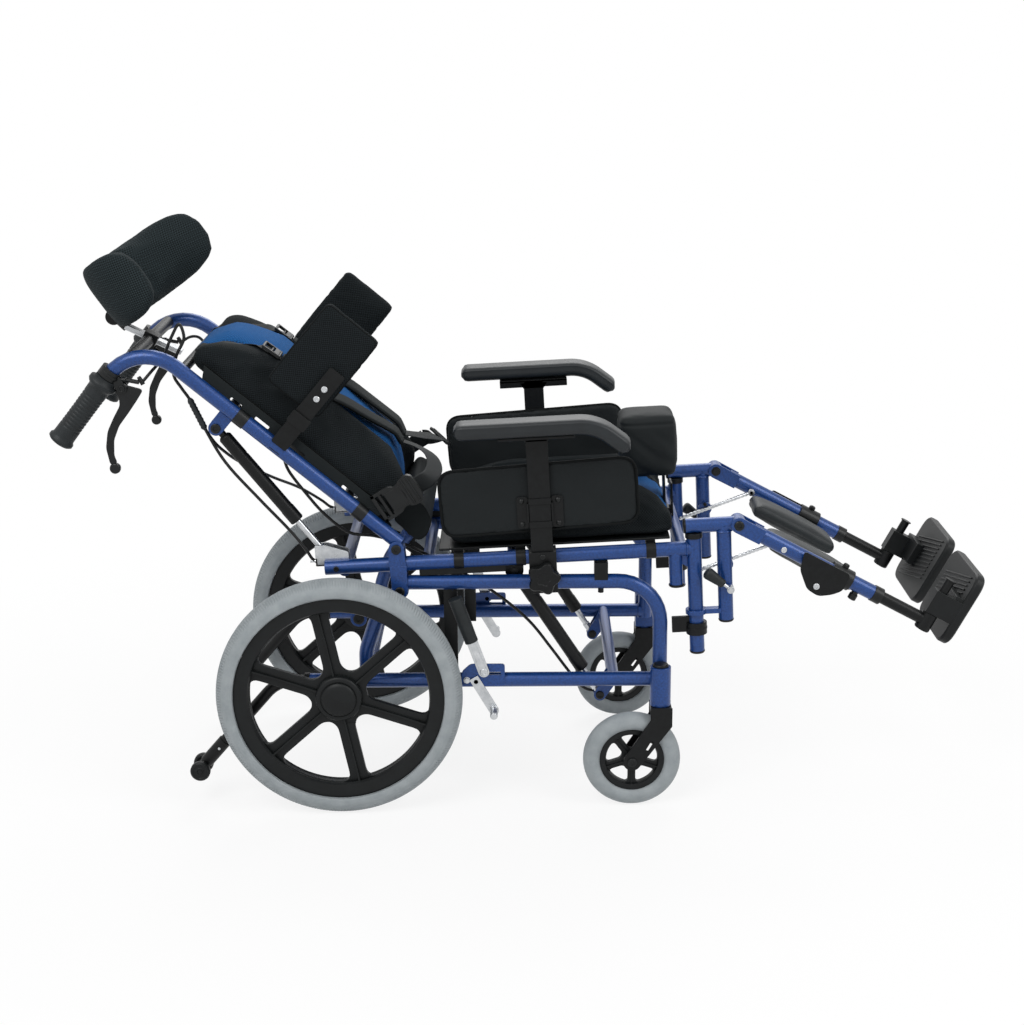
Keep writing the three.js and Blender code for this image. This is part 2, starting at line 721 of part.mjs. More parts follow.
const boardLow = 57.5;
const boardThick = 4;
const clipLength = 16;
const clipXs = [90, 190, 400];
const stubX = 447;
const stubRadius = 11;
const stubLow = -18;
const gussetX = 428;
const gussetLow = 4;
const bufferRearX = 33;
const bufferFrontX = 173;
const bufferHalfWidth = 6;
const bufferDrop = 8.5;
const hangerPinRadius = 8;
const hangerPinLength = 34;
const latchLow = -102;
const latchTop = -82;
const latchRadius = 17;
const latchArmLength = 40;
const latchArmDrop = 10;
const pommelCrossX = 457;
const cableStopLow = 44;
const cableStopTop = 57;
const cableStopThick = 3;

// Two cheeks of a clevis either side of a distance from the middle plane.
function cheeks(outline, offset, half, thick) {
  return [
    sidePlate(outline, offset + half, offset + half + thick),
    sidePlate(outline, offset - half - thick, offset - half),
  ];
}

function lugPin(x, z) {
  const outer = tubeRadius + lugGap + lugPlate;
  return [
    crossRod(x, z, sideOffset - outer, sideOffset + outer, pinRadius, pinSides),
    crossRod(x, z, sideOffset + outer, sideOffset + outer + boltHeadHeight, boltHeadRadius, pinSides),
    crossRod(x, z, sideOffset - outer - boltHeadHeight, sideOffset - outer, boltHeadRadius, 6),
  ];
}

function starKnob(x, z, near, far) {
  const points = [];
  const steps = 2 * starLobes;
  for (let i = 0; i < steps; i += 1) {
    const angle = (fullTurn * i) / steps;
    const radius = i % 2 ? starRadius - starDepth : starRadius;
    points.push([x + radius * Math.cos(angle), z + radius * Math.sin(angle)]);
  }
  return sidePlate(points, near, far);
}

function makeSeatSide() {
  const y = sideOffset;
  const rail = rod([seatRailRearX, y, seatRailHeight], [frontPostX, y, seatRailHeight], tubeRadius);
  const post = rod([frontPostX, y, frontPostLow], [frontPostX, y, frontPostTop], tubeRadius);
  const lugHalf = tubeRadius + lugGap;
  const tiltLugs = cheeks(lugOutline(0, 0, lugRadius, 0, seatRailHeight, lugRootHalf), y, lugHalf, lugPlate);
  const backLugs = cheeks(lugOutline(reclinePivotX, reclinePivotZ, lugRadius, reclinePivotX, seatRailHeight,
    lugRootHalf), y, lugHalf, lugPlate);
  const lugBlocks = [
    block([-lugRootHalf, y - lugHalf - lugPlate, seatRailHeight - tubeRadius / 2],
      [lugRootHalf, y + lugHalf + lugPlate, seatRailHeight + tubeRadius / 2]),
  ];
  const headCheeks = cheeks(lugOutline(strutCrossX, strutHeadZ, strutCheekHalfWidth, strutCrossX,
    seatRailHeight,
    strutCheekHalfWidth), tiltStrutOffset, strutHeadHalf + 2 * gap, strutCheekThick);
  const bracketOutline = [[bracketRearX, seatRailHeight], [bracketFrontX, seatRailHeight],
    [bracketFrontX, bracketTop - tubeRadius], [reclineFootX, bracketTop], [bracketRearX, bracketTop]];
  const footCheeks = cheeks(bracketOutline, reclineStrutOffset, strutHeadHalf + 2 * gap, strutCheekThick);
  const cableStop = block([bracketRearX, reclineStrutOffset - strutHeadHalf - strutCheekThick, cableStopLow],
    [bracketRearX + cableStopThick, reclineStrutOffset + strutHeadHalf + strutCheekThick, cableStopTop]);
  const socketInner = armPostOffset - armPostHalfThick - gap;
  const socketOuter = armPostOffset + armPostHalfThick + gap;
  const socket = block([armPostX - socketHalfLength, y, socketLow],
    [armPostX + socketHalfLength, socketOuter + socketWall, socketTop]);
  const socketRelief = block([armPostX - 2 * socketHalfLength, y, socketLow - overrun],
    [armPostX + 2 * socketHalfLength, socketInner - socketWall, seatRailHeight - tubeRadius]);
  const slot = block([armPostX - armPostHalfLength - gap, socketInner, socketLow - overrun],
    [armPostX + armPostHalfLength + gap, socketOuter, socketTop + overrun]);
  const knob = starKnob(armPostX, knobZ, socketOuter + socketWall, socketOuter + socketWall + starThick);
  const stub = rod([stubX, y, stubLow], [stubX, y, seatRailHeight], stubRadius, eyeSides);
  const gusset = sidePlate([[gussetX, seatRailHeight - tubeRadius / 2], [frontPostX, seatRailHeight
    - tubeRadius / 2], [frontPostX, gussetLow]], y - lugPlate / 2, y + lugPlate / 2);
  const buffer = block([bufferRearX, y - bufferHalfWidth, seatRailHeight - tubeRadius - bufferDrop],
    [bufferFrontX, y + bufferHalfWidth, seatRailHeight]);
  const latch = rod([frontPostX, y, latchLow], [frontPostX, y, latchTop], latchRadius, eyeSides);
  const latchArm = block([frontPostX - latchArmLength, y - lugPlate, latchLow + lugPlate],
    [frontPostX, y + lugPlate, latchTop + latchArmDrop]);
  const hangerBore = rod([frontPostX, y, frontPostTop - hangerPinLength], [frontPostX, y,
    frontPostTop + overrun],
    hangerPinRadius + gap, boreSides);
  const bodySocket = cut(socket, socketRelief, slot);
  const clips = clipXs.map((x) => block([x, boardHalfWidth - 2 * lugPlate, seatRailHeight],
    [x + clipLength, boardHalfWidth, boardLow + boardThick / 2]));
  return cut(join(rail, post, ...tiltLugs, ...backLugs, ...lugBlocks, ...headCheeks, ...footCheeks,
    bodySocket, cableStop,
    knob, stub, gusset, buffer, latch, latchArm, ...lugPin(0, 0), ...lugPin(reclinePivotX, reclinePivotZ),
    ...clips), hangerBore);
}

function makeSeatFrame() {
  const side = makeSeatSide();
  const crosses = [
    crossRod(rearCrossX, rearCrossZ, -sideOffset, sideOffset, crossTubeRadius, pinSides),
    crossRod(strutCrossX, seatRailHeight, -sideOffset, sideOffset, crossTubeRadius, pinSides),
    crossRod(pommelCrossX, seatRailHeight, -sideOffset, sideOffset, crossTubeRadius, pinSides),
  ];
  const board = block([boardRearX, -boardHalfWidth, boardLow], [boardFrontX, boardHalfWidth,
    boardLow + boardThick]);
  return join(side, mirrored(side), ...crosses, board);
}

add(seat, 'seat_frame', makeSeatFrame(), blueFrame());

// Seat cushion and thigh block
const seatCushionRearX = 72;
const seatCushionFrontX = 456;
const seatCushionWidth = 356;
const seatCushionThick = 46;
const seatCushionCrown = 19;
const seatCushionDrawn = 5;
const seatCushionEdge = 7;
const seatCushionCorner = 9;
const seatChannelDepth = 4;
const seatChannelShare = 0.5;
const seatAlongShares = [-1, -0.96, -0.85, -0.6, -0.2, 0.2, 0.5, 0.72, 0.87, 0.96, 1];
const seatAcrossShares = [-1, -0.95, -0.78, -0.57, -0.5, -0.43, -0.2, 0.2, 0.43, 0.5, 0.57, 0.78, 0.95, 1];
const levelShares = [-1, -0.6, 0.6, 1];

function makeSeatCushion() {
  const length = seatCushionFrontX - seatCushionRearX;
  const form = cushion({
    length, width: seatCushionWidth, thickness: seatCushionThick, crown: seatCushionCrown,
      drawn: seatCushionDrawn,
    edge: seatCushionEdge, corner: seatCushionCorner, along: seatAlongShares, across: seatAcrossShares,
    levels: levelShares,
    press: (a, b) => (Math.abs(Math.abs(b) - seatChannelShare) < weldTolerance ? seatChannelDepth : 0),
  });
  form.translate((seatCushionFrontX + seatCushionRearX) / 2, 0,
    boardLow + boardThick + gap + seatCushionThick / 2);
  return form;
}

const thighBlockRearX = 404;
const thighBlockFrontX = 461;
const thighBlockLow = 129;
const thighBlockTop = 238;
const thighBlockWidth = 110;
const thighBlockCrown = 3;
const thighPlateThick = 4;
const thighPlateHalf = 18;
const padAlongShares = [-1, -0.9, -0.5, 0.5, 0.9, 1];
const padAcrossShares = [-1, -0.85, -0.4, 0.4, 0.85, 1];

// A plain upholstered pad with soft edges.
function softPad(length, width, thickness, crown, edge) {
  return cushion({
    length, width, thickness: thickness - 2 * crown, crown: 2 * crown, drawn: edge / 2, edge, corner: edge,
    along: padAlongShares, across: padAcrossShares, levels: levelShares, press: null,
  });
}

function makeThighBlock() {
  const thick = thighBlockFrontX - thighBlockRearX;
  const height = thighBlockTop - thighBlockLow;
  const pad = softPad(height, thighBlockWidth, thick, thighBlockCrown, 2 * thighBlockCrown);
  pad.rotateY(-Math.PI / 2);
  pad.translate((thighBlockRearX + thighBlockFrontX) / 2, 0, (thighBlockTop + thighBlockLow) / 2);
  const plateLow = seatRailHeight + crossTubeRadius + gap;
  const plate = block([thighBlockFrontX - thighPlateThick, -thighPlateHalf, plateLow],
    [thighBlockFrontX + thighPlateThick, thighPlateHalf, thighBlockTop - thighPlateHalf]);
  return join(pad, plate);
}

add(seat, 'seat_cushion', makeSeatCushion(), darkMesh());
add(seat, 'thigh_block', makeThighBlock(), darkMesh());

// Armrests: a flat post, a moulded pad on a bracket and a padded side panel
const armPadRearX = 91;
const armPadFrontX = 384;
const armPadTop = 283;
const armPadThick = 32;
const armPadHalfWidth = 26;
const armPadOffset = 236;
const armPadDroop = 45;
const armPadBendX = 335;
const armPadRound = 14;
const armPostLow = -4;
const armBracketHalfLength = 60;
const armBracketThick = 5;
const sidePanelRearX = 67;
const sidePanelFrontX = 398;
const sidePanelLow = 74;
const sidePanelTop = 199;
const sidePanelThick = 13;
const sidePanelCrown = 1;
const sidePanelRound = 5;

function makeArmPost() {
  const armBracketTop = armPadTop - armPadThick - gap;
  const bracketLow = armBracketTop - armBracketThick;
  const post = block([armPostX - armPostHalfLength, armPostOffset - armPostHalfThick, armPostLow],
    [armPostX + armPostHalfLength, armPostOffset + armPostHalfThick, armBracketTop]);
  const bracket = block([armPostX - armBracketHalfLength, armPostOffset - armPostHalfThick, bracketLow],
    [armPostX + armBracketHalfLength, armPadOffset + armPadHalfWidth / 2, armBracketTop]);
  return join(post, bracket);
}

function makeArmPad() {
  const low = armPadTop - armPadThick;
  const outline = [
    [armPadRearX, low], [armPadBendX - armPadThick / 2, low], [armPadFrontX - armPadThick / 2,
      low - armPadDroop
    + armPadThick / 2], [armPadFrontX, armPadTop - armPadDroop], [armPadBendX, armPadTop], [armPadRearX
    + armPadThick, armPadTop], [armPadRearX, armPadTop - armPadThick / 3],
  ];
  return sidePlate(outline, armPadOffset - armPadHalfWidth, armPadOffset + armPadHalfWidth, armPadRound, 3);
}

function makeSidePanel() {
  const length = sidePanelFrontX - sidePanelRearX;
  const height = sidePanelTop - sidePanelLow;
  const pad = softPad(length, height, sidePanelThick, sidePanelCrown, sidePanelRound);
  const middle = armPostOffset - armPostHalfThick - gap + sidePanelCrown - sidePanelThick / 2;
  pad.rotateX(Math.PI / 2);
  pad.translate((sidePanelFrontX + sidePanelRearX) / 2, middle, (sidePanelTop + sidePanelLow) / 2);
  return pad;
}

addPair(seat, 'armrest_post', makeArmPost(), blackSteel());
addPair(seat, 'armrest_pad', makeArmPad(), blackPlastic());
addPair(seat, 'side_panel', makeSidePanel(), darkMesh());

// Legrest hangers, which swing about the front posts
const hangerTubeZ = 80;
const hingeX = 549.5;
const hingeRadius = 13;
const hangerUprightX = 526;
const hangerUprightLow = -80;
const collarRearX = 463;
const collarFrontX = 494;
const collarHalf = 15;
const hangerRingZ = -64;
const hangerRingThick = 8;
const hangerRingWall = 5;
const ratchetX = 528;
const ratchetZ = 12;
const ratchetOffset = 161;
const ratchetRodRadius = 3.5;
const ratchetCheekHalf = 12;
const ratchetBoltGap = 9;
const ratchetBoltRadius = 3;
const leverPivotX = 532;
const leverPivotZ = -23;
const leverBossRadius = 6;
const leverOffset = 203;
const leverReach = 50;
const leverAngle = 141;
const leverKnobRadius = 10;
const leverKnobLength = 36;
const leverPinRadius = 3;

function makeHanger() {
  const y = sideOffset;
  const top = rod([collarRearX, y, hangerTubeZ], [hingeX - hingeRadius / 2, y, hangerTubeZ], tubeRadius);
  const upright = rod([hangerUprightX, y, hangerUprightLow], [hangerUprightX, y, hangerTubeZ], tubeRadius);
  const eye = crossRod(hingeX, hangerTubeZ, y - tubeRadius, y + tubeRadius, hingeRadius);
  const collar = block([collarRearX, y - collarHalf, frontPostTop + gap], [collarFrontX, y + collarHalf,
    hangerTubeZ + collarHalf]);
  const pin = rod([frontPostX, y, frontPostTop - hangerPinLength + gap], [frontPostX, y, hangerTubeZ],
    hangerPinRadius);
  const ring = rod([frontPostX, y, hangerRingZ - hangerRingThick / 2], [frontPostX, y, hangerRingZ
    + hangerRingThick / 2], tubeRadius + hangerRingWall);
  const link = block([frontPostX, y - tubeRadius + overrun, hangerRingZ - hangerRingThick / 2],
    [hangerUprightX, y + tubeRadius - overrun, hangerRingZ + hangerRingThick / 2]);
  const ringBore = rod([frontPostX, y, hangerRingZ - hangerRingThick], [frontPostX, y, hangerRingZ
    + hangerRingThick], tubeRadius + gap, boreSides);
  const cheekOuter = ratchetOffset + ratchetRodRadius + gap;
  const boltZ = ratchetZ + ratchetBoltGap;
  const outerCheek = crossRod(ratchetX, ratchetZ, cheekOuter, y, ratchetCheekHalf, pinSides);
  const ratchetBolt = crossRod(ratchetX, boltZ, ratchetOffset - ratchetRodRadius, y, ratchetBoltRadius,
    pinSides);
  const leverBoss = crossRod(leverPivotX, leverPivotZ, y, leverOffset - leverBossRadius - gap,
    leverBossRadius,
    pinSides);
  const leverPin = crossRod(leverPivotX, leverPivotZ, y, leverOffset + leverBossRadius, leverPinRadius,
    pinSides);
  const eyeBore = crossRod(hingeX, hangerTubeZ, y - 2 * tubeRadius, y + 2 * tubeRadius, pinRadius + gap);
  return cut(join(top, upright, eye, collar, pin, ring, link, outerCheek, ratchetBolt, leverBoss,
    leverPin), ringBore, eyeBore);
}

function makeLegrestLever() {
  const direction = [Math.cos(leverAngle * degree), Math.sin(leverAngle * degree)];
  const at = (distance) => [leverPivotX + direction[0] * distance, leverOffset, leverPivotZ
    + direction[1] * distance];
  const boss = crossRod(leverPivotX, leverPivotZ, leverOffset - leverBossRadius,
    leverOffset + leverBossRadius,
    leverBossRadius, eyeSides);
  const stalk = rod(at(0), at(leverReach - leverKnobLength + gap), leverPinRadius, 8);
  const knob = rod(at(leverReach - leverKnobLength), at(leverReach), leverKnobRadius - leverPinRadius, 12,
    leverKnobRadius);
  const bore = crossRod(leverPivotX, leverPivotZ, leverOffset - 2 * leverBossRadius, leverOffset
    + 2 * leverBossRadius, leverPinRadius + gap, eyeSides);
  return cut(join(boss, stalk, knob), bore);
}

addPair(seat, 'legrest_hanger', makeHanger(), blueFrame());
addPair(seat, 'legrest_lever', makeLegrestLever(), blackPlastic());

// Elevating leg tubes, in the leg's own frame with its hinge at the origin and x along the tube
const leg = new THREE.Group();
leg.position.set(hingeX, 0, hangerTubeZ);
leg.rotation.y = legDrop * degree;
seat.add(leg);

const legTubeRadius = 12.5;
const legTubeStart = 26;
const legTubeEnd = 265;
const legBoreStart = 150;
const legLugLength = 44;
const extensionRadius = 10;
const extensionStart = 160;
const extensionEnd = 352;
const extensionKnobX = 225;
const extensionKnobDrop = 26;
const extensionKnobRadius = 7;
const rodPinX = 74;
const rodPinZ = -4;
const rodPinRadius = 3;
const rodEyeRadius = 6;
const footPostRadius = 7.5;
const footPostTop = 76;
const footPostLow = -15;
const footFairingRadius = 13;
const footSleeveLow = 14;
const footSleeveTop = 66;
const footSleeveRear = 334;
const footPlateFront = 402;
const footPlateThick = 17;
const footPlateInner = 18;
const footPlateHeel = -22;
const footPlateToe = 106;
const footSleeveHalf = 14;
const footPlateRound = 26;
const calfPadX = 152;
const calfPadLength = 168;
const calfPadWidth = 88;
const calfPadThick = 24;
const calfPadOffset = 106;
const calfPadZ = -13;
const calfClampX = 190;
const calfClampHalf = 20;
const calfClampRadius = 17;
const calfArmThick = 8;
const calfPadCrown = 2;
const calfPadRound = 6;

function makeLegTube() {
  const y = sideOffset;
  const lugHalf = tubeRadius + lugGap;
  const tube = rod([legTubeStart, y, 0], [legTubeEnd, y, 0], legTubeRadius);
  const plates = cheeks(lugOutline(0, 0, hingeRadius, legLugLength, 0, legTubeRadius), y, lugHalf, lugPlate);
  const web = block([legTubeStart, y - lugHalf - lugPlate, -legTubeRadius / 2], [legLugLength, y + lugHalf
    + lugPlate, legTubeRadius / 2]);
  const rodPin = crossRod(rodPinX, rodPinZ, ratchetOffset - ratchetRodRadius, y, rodPinRadius, pinSides);
  const knob = rod([extensionKnobX, y, -legTubeRadius + overrun / 2], [extensionKnobX, y, -extensionKnobDrop],
    extensionKnobRadius, pinSides);
  const bore = rod([legBoreStart, y, 0], [legTubeEnd + overrun, y, 0], extensionRadius + gap, boreSides);
  const blindKnob = block([extensionKnobX - extensionKnobRadius, y - extensionKnobRadius,
    -legTubeRadius + overrun
    / 2], [extensionKnobX + extensionKnobRadius, y + extensionKnobRadius, -extensionRadius - gap]);
  return cut(join(tube, ...plates, web, ...lugPin(0, 0), rodPin, knob, blindKnob), bore);
}

function makeExtension() {
  const y = sideOffset;
  const tube = rod([extensionStart, y, 0], [extensionEnd, y, 0], extensionRadius);
  const post = rod([extensionEnd, y, 0], [extensionEnd, y, footPostTop], footPostRadius);
  const fairing = rod([extensionEnd, y, footPostLow], [extensionEnd, y, footSleeveLow - gap],
    footFairingRadius);
  return join(tube, post, fairing);
}

function makeFootplate() {
  const y = sideOffset;
  const plateRear = footPlateFront - footPlateThick;
  const sleeve = block([footSleeveRear, y - footSleeveHalf, footSleeveLow], [plateRear + footPlateThick / 2,
    y + footSleeveHalf, footSleeveTop]);
  const shape = roundedShape([[footPlateInner, footPlateHeel], [y + footSleeveHalf, footPlateHeel],
    [y + footSleeveHalf, footPlateToe], [footPlateInner, footPlateToe]], footPlateRound);
  const plate = new THREE.ExtrudeGeometry(shape, { depth: footPlateThick, bevelEnabled: false,
    curveSegments: 4 });
  plate.applyMatrix4(new THREE.Matrix4().makeBasis(new THREE.Vector3(0, 1, 0), new THREE.Vector3(0, 0, 1),
    new THREE.Vector3(1, 0, 0)));
  plate.translate(plateRear, 0, 0);
  const bore = rod([extensionEnd, y, footSleeveLow - overrun], [extensionEnd, y, footSleeveTop + overrun],
    footPostRadius + gap, boreSides);
  return cut(join(sleeve, plate), bore);
}

function makeCalfPad() {
  const y = sideOffset;
  const pad = softPad(calfPadLength, calfPadWidth, calfPadThick, calfPadCrown, calfPadRound);
  pad.translate(calfPadX, calfPadOffset, calfPadZ);
  const clamp = rod([calfClampX - calfClampHalf, y, 0], [calfClampX + calfClampHalf, y, 0], calfClampRadius);
  const arm = block([calfClampX - calfClampHalf / 2, calfPadOffset, calfPadZ - calfArmThick],
    [calfClampX + calfClampHalf / 2, y, calfPadZ]);
  const bore = rod([calfClampX - 2 * calfClampHalf, y, 0], [calfClampX + 2 * calfClampHalf, y, 0],
    legTubeRadius + gap, boreSides);
  return cut(join(pad, clamp, arm), bore);
}

// The ratchet rod runs from a pin on the leg tube back through its guide on the hanger.
const ratchetRodLength = 138;

function makeRatchetRod() {
  const legTurn = legDrop * degree;
  const backX = ratchetX - hingeX;
  const backZ = ratchetZ - hangerTubeZ;
  const guideX = backX * Math.cos(legTurn) - backZ * Math.sin(legTurn);
  const guideZ = backX * Math.sin(legTurn) + backZ * Math.cos(legTurn);
  const toGuide = new THREE.Vector2(guideX - rodPinX, guideZ - rodPinZ).normalize();
  const at = (distance) => [rodPinX + toGuide.x * distance, ratchetOffset, rodPinZ + toGuide.y * distance];
  const bar = rod(at(0), at(ratchetRodLength), ratchetRodRadius, 8);
  const eye = crossRod(rodPinX, rodPinZ, ratchetOffset - ratchetRodRadius, ratchetOffset + ratchetRodRadius,
    rodEyeRadius, eyeSides);
  const bore = crossRod(rodPinX, rodPinZ, ratchetOffset - 2 * ratchetRodRadius, ratchetOffset
    + 2 * ratchetRodRadius, rodPinRadius + gap, eyeSides);
  return cut(join(bar, eye), bore);
}

addPair(leg, 'legrest_tube', makeLegTube(), blueFrame());
addPair(leg, 'legrest_extension', makeExtension(), blackSteel());
addPair(leg, 'footplate', makeFootplate(), blackPlastic());
addPair(leg, 'calf_pad', makeCalfPad(), blackVinyl());
addPair(leg, 'legrest_rod', makeRatchetRod(), bareSteel());

// Back frame, in the back's own frame: its pivot at the origin, z up the canes and x towards the user
const back = new THREE.Group();
back.position.set(reclinePivotX, 0, reclinePivotZ);
back.rotation.y = (backAngle - 90) * degree;
seat.add(back);

const caneX = 8;
const caneTop = 527;
const caneBend = 75;
const handleEndX = -202;
const handleEndZ = 521;
const backCrossRadius = 8;
const backCrossX = 12;
const backCrossZs = [110, 343, 440];
const topCrossX = -29;
const topCrossDrop = 9.94;
const reclineHeadX = -32;
const reclineHeadZ = 343;
const reclineCheekHalfWidth = 12;
const lateralPlateLow = 236;
const lateralPlateTop = 264;
const lateralPlateReach = 166;
const lateralPlateThick = 4;
const lateralPlateInner = 190;
const handleSlope = (caneTop - handleEndZ) / (caneX - handleEndX);
const topCrossZ = caneTop + handleSlope * (topCrossX - caneX) - topCrossDrop;
const clampX = -66;
const clampHalf = 8;
const clampRadius = 17;
const clampZ = caneTop + handleSlope * (clampX - caneX);
const handLeverPivotX = -72;
const handLeverPivotDrop = 28.9;
const handLeverPivotZ = clampZ - handLeverPivotDrop;
const handLeverHalf = 4;
const handLeverPinRadius = 3;
const adjusterX = -48;
const adjusterDrop = 44;
const adjusterZ = clampZ - adjusterDrop;
const adjusterRadius = 4;
const mastLowX = -12;
const mastLowZ = 462;
const mastTopX = -36;
const mastTopZ = 560;
const mastHalfWidth = 10;
const mastHalfThick = 4;
const mastClampHalf = 15;
const mastClampLength = 24;

// Where the mast passes the top crossbar, and the way it slides
const mastWay = new THREE.Vector2(mastTopX - mastLowX, mastTopZ - mastLowZ).normalize();
const mastLean = Math.atan2(mastWay.x, mastWay.y);

function alongMast(geometry, distance) {
  geometry.rotateY(mastLean);
  return geometry.translate(mastLowX + mastWay.x * distance, 0, mastLowZ + mastWay.y * distance);
}

function makeBackSide() {
  const y = sideOffset;
  const cane = bentTube([[caneX, y, 0], [caneX, y, caneTop], [handleEndX, y, handleEndZ]], tubeRadius,
    caneBend,
    { bendSteps: 6 });
  const eye = crossRod(0, 0, y - tubeRadius, y + tubeRadius, tubeRadius);
  const headCheeks = cheeks(lugOutline(reclineHeadX, reclineHeadZ, reclineCheekHalfWidth, caneX, reclineHeadZ,
    reclineCheekHalfWidth), reclineStrutOffset, strutHeadHalf + gap, strutCheekThick);
  const headPin = crossRod(reclineHeadX, reclineHeadZ, reclineStrutOffset - strutHeadHalf - strutCheekThick,
    reclineStrutOffset + strutHeadHalf + strutCheekThick, pinRadius, pinSides);
  const lateral = sidePlate([[caneX - tubeRadius, lateralPlateLow], [lateralPlateReach, lateralPlateLow],
    [lateralPlateReach, lateralPlateTop], [caneX - tubeRadius, lateralPlateTop]], lateralPlateInner,
  lateralPlateInner + lateralPlateThick, lateralPlateThick);
  const clamp = rod([clampX - clampHalf, y, clampZ], [clampX + clampHalf, y, clampZ], clampRadius);
  const leverCheeks = cheeks(lugOutline(handLeverPivotX, handLeverPivotZ, clampHalf, clampX, clampZ,
    clampHalf),
    y, handLeverHalf + gap, strutCheekThick);
  const leverPin = crossRod(handLeverPivotX, handLeverPivotZ, y - handLeverHalf - strutCheekThick,
    y + handLeverHalf + strutCheekThick, handLeverPinRadius, pinSides);
  const adjuster = rod([clampX, y, clampZ - tubeRadius], [adjusterX, y, adjusterZ], adjusterRadius, pinSides);
  const eyeBore = crossRod(0, 0, y - 2 * tubeRadius, y + 2 * tubeRadius, pinRadius + gap);
  return cut(join(cane, eye, ...headCheeks, headPin, lateral, clamp, ...leverCheeks, leverPin,
    adjuster), eyeBore);
}

function makeBackFrame() {
  const side = makeBackSide();
  const crosses = backCrossZs.map((z) => crossRod(backCrossX, z, -sideOffset, sideOffset, backCrossRadius,
    pinSides));
  const topCross = crossRod(topCrossX, topCrossZ, -sideOffset, sideOffset, crossTubeRadius, pinSides);
  const mastAt = (topCrossZ - mastLowZ) / mastWay.y;
  const clampDepth = Math.abs(mastLowX + mastWay.x * mastAt - topCrossX) + mastClampHalf;
  const clampBlock = alongMast(new THREE.BoxGeometry(clampDepth, 2 * mastClampHalf, mastClampLength), mastAt);
  const slot = alongMast(new THREE.BoxGeometry(2 * mastHalfThick + 2 * gap, 2 * mastHalfWidth + 2 * gap,
    2 * mastClampLength), mastAt);
  return cut(join(side, mirrored(side), ...crosses, topCross, clampBlock), slot);
}

add(back, 'back_frame', makeBackFrame(), blueFrame());

// Back cushion, lateral pads and headrest
const backCushionLow = 12;
const backCushionTop = 456;
const backCushionWidth = 350;
const backCushionThick = 46;
const backCushionCrown = 24;
const backCushionDrawn = 5;
const backCushionEdge = 8;
const backCushionCorner = 10;
const backCushionTaper = 20;
const backChannelShare = 0.42;
const backChannelDepth = 5;
const backAlongShares = [-1, -0.96, -0.85, -0.65, -0.35, 0, 0.35, 0.65, 0.85, 0.96, 1];
const backAcrossShares = [-1, -0.95, -0.75, -0.49, -0.42, -0.35, -0.15, 0.15, 0.35, 0.42, 0.49, 0.75,
  0.95, 1];

function makeBackCushion() {
  const form = cushion({
    length: backCushionTop - backCushionLow, width: backCushionWidth, thickness: backCushionThick,
    crown: backCushionCrown, drawn: backCushionDrawn, edge: backCushionEdge, corner: backCushionCorner,
    along: backAlongShares, across: backAcrossShares, levels: levelShares,
    press: (a, b) => (Math.abs(Math.abs(b) - backChannelShare) < weldTolerance ? backChannelDepth : 0)
      + (a < 0 ? backCushionTaper * a * a : 0),
  });
  form.rotateY(-Math.PI / 2);
  form.scale(-1, 1, 1);
  const flipped = form.index.array;
  for (let i = 0; i < flipped.length; i += 3) [flipped[i], flipped[i + 1]] = [flipped[i + 1], flipped[i]];
  form.translate(caneX + tubeRadius + gap + backCushionThick / 2, 0, (backCushionLow + backCushionTop) / 2);
  return form;
}

const lateralPadLow = 227;
const lateralPadTop = 331;
const lateralPadNear = 96;
const lateralPadFar = 247;
const lateralPadThick = 30;
const lateralPadCrown = 2;
const lateralPadRound = 5;

function makeLateralPad() {
  const pad = softPad(lateralPadFar - lateralPadNear, lateralPadTop - lateralPadLow, lateralPadThick,
    lateralPadCrown, lateralPadRound);
  const middle = lateralPlateInner - gap + lateralPadCrown - lateralPadThick / 2;
  pad.rotateX(Math.PI / 2);
  pad.translate((lateralPadNear + lateralPadFar) / 2, middle, (lateralPadLow + lateralPadTop) / 2);
  return pad;
}

const headrestHalfWidth = 148;
const headrestHeight = 128;
const headrestThick = 44;
const headrestWingDepth = 150;
const headrestFlatHalf = 60;
const headrestLean = 16;
const headrestCentreX = 8;
const headrestCentreZ = 606;
const headrestRings = 20;
const headrestRingPoints = 10;
const headrestTipShare = 0.25;
const headrestTipPower = 8;
const headrestSquare = 0.5;
const headrestHingeRadius = 13.4;
const headrestStalkRadius = 8.7;
const headrestHingeHalf = 16;
const headrestHingeX = -34;
const headrestHingeZ = 584;

// The pad's middle line in plan, from wing tip to wing tip, at a share from minus one to one.
function headrestLine(share) {
  const across = headrestHalfWidth * Math.sin((share * Math.PI) / 2);
  const beyond = Math.max(0, Math.abs(across) - headrestFlatHalf) / (headrestHalfWidth - headrestFlatHalf);
  return new THREE.Vector2(headrestWingDepth * (1 - Math.sqrt(Math.max(0, 1 - beyond * beyond))), across);
}

function squared(value) {
  return Math.sign(value) * Math.abs(value) ** headrestSquare;
}

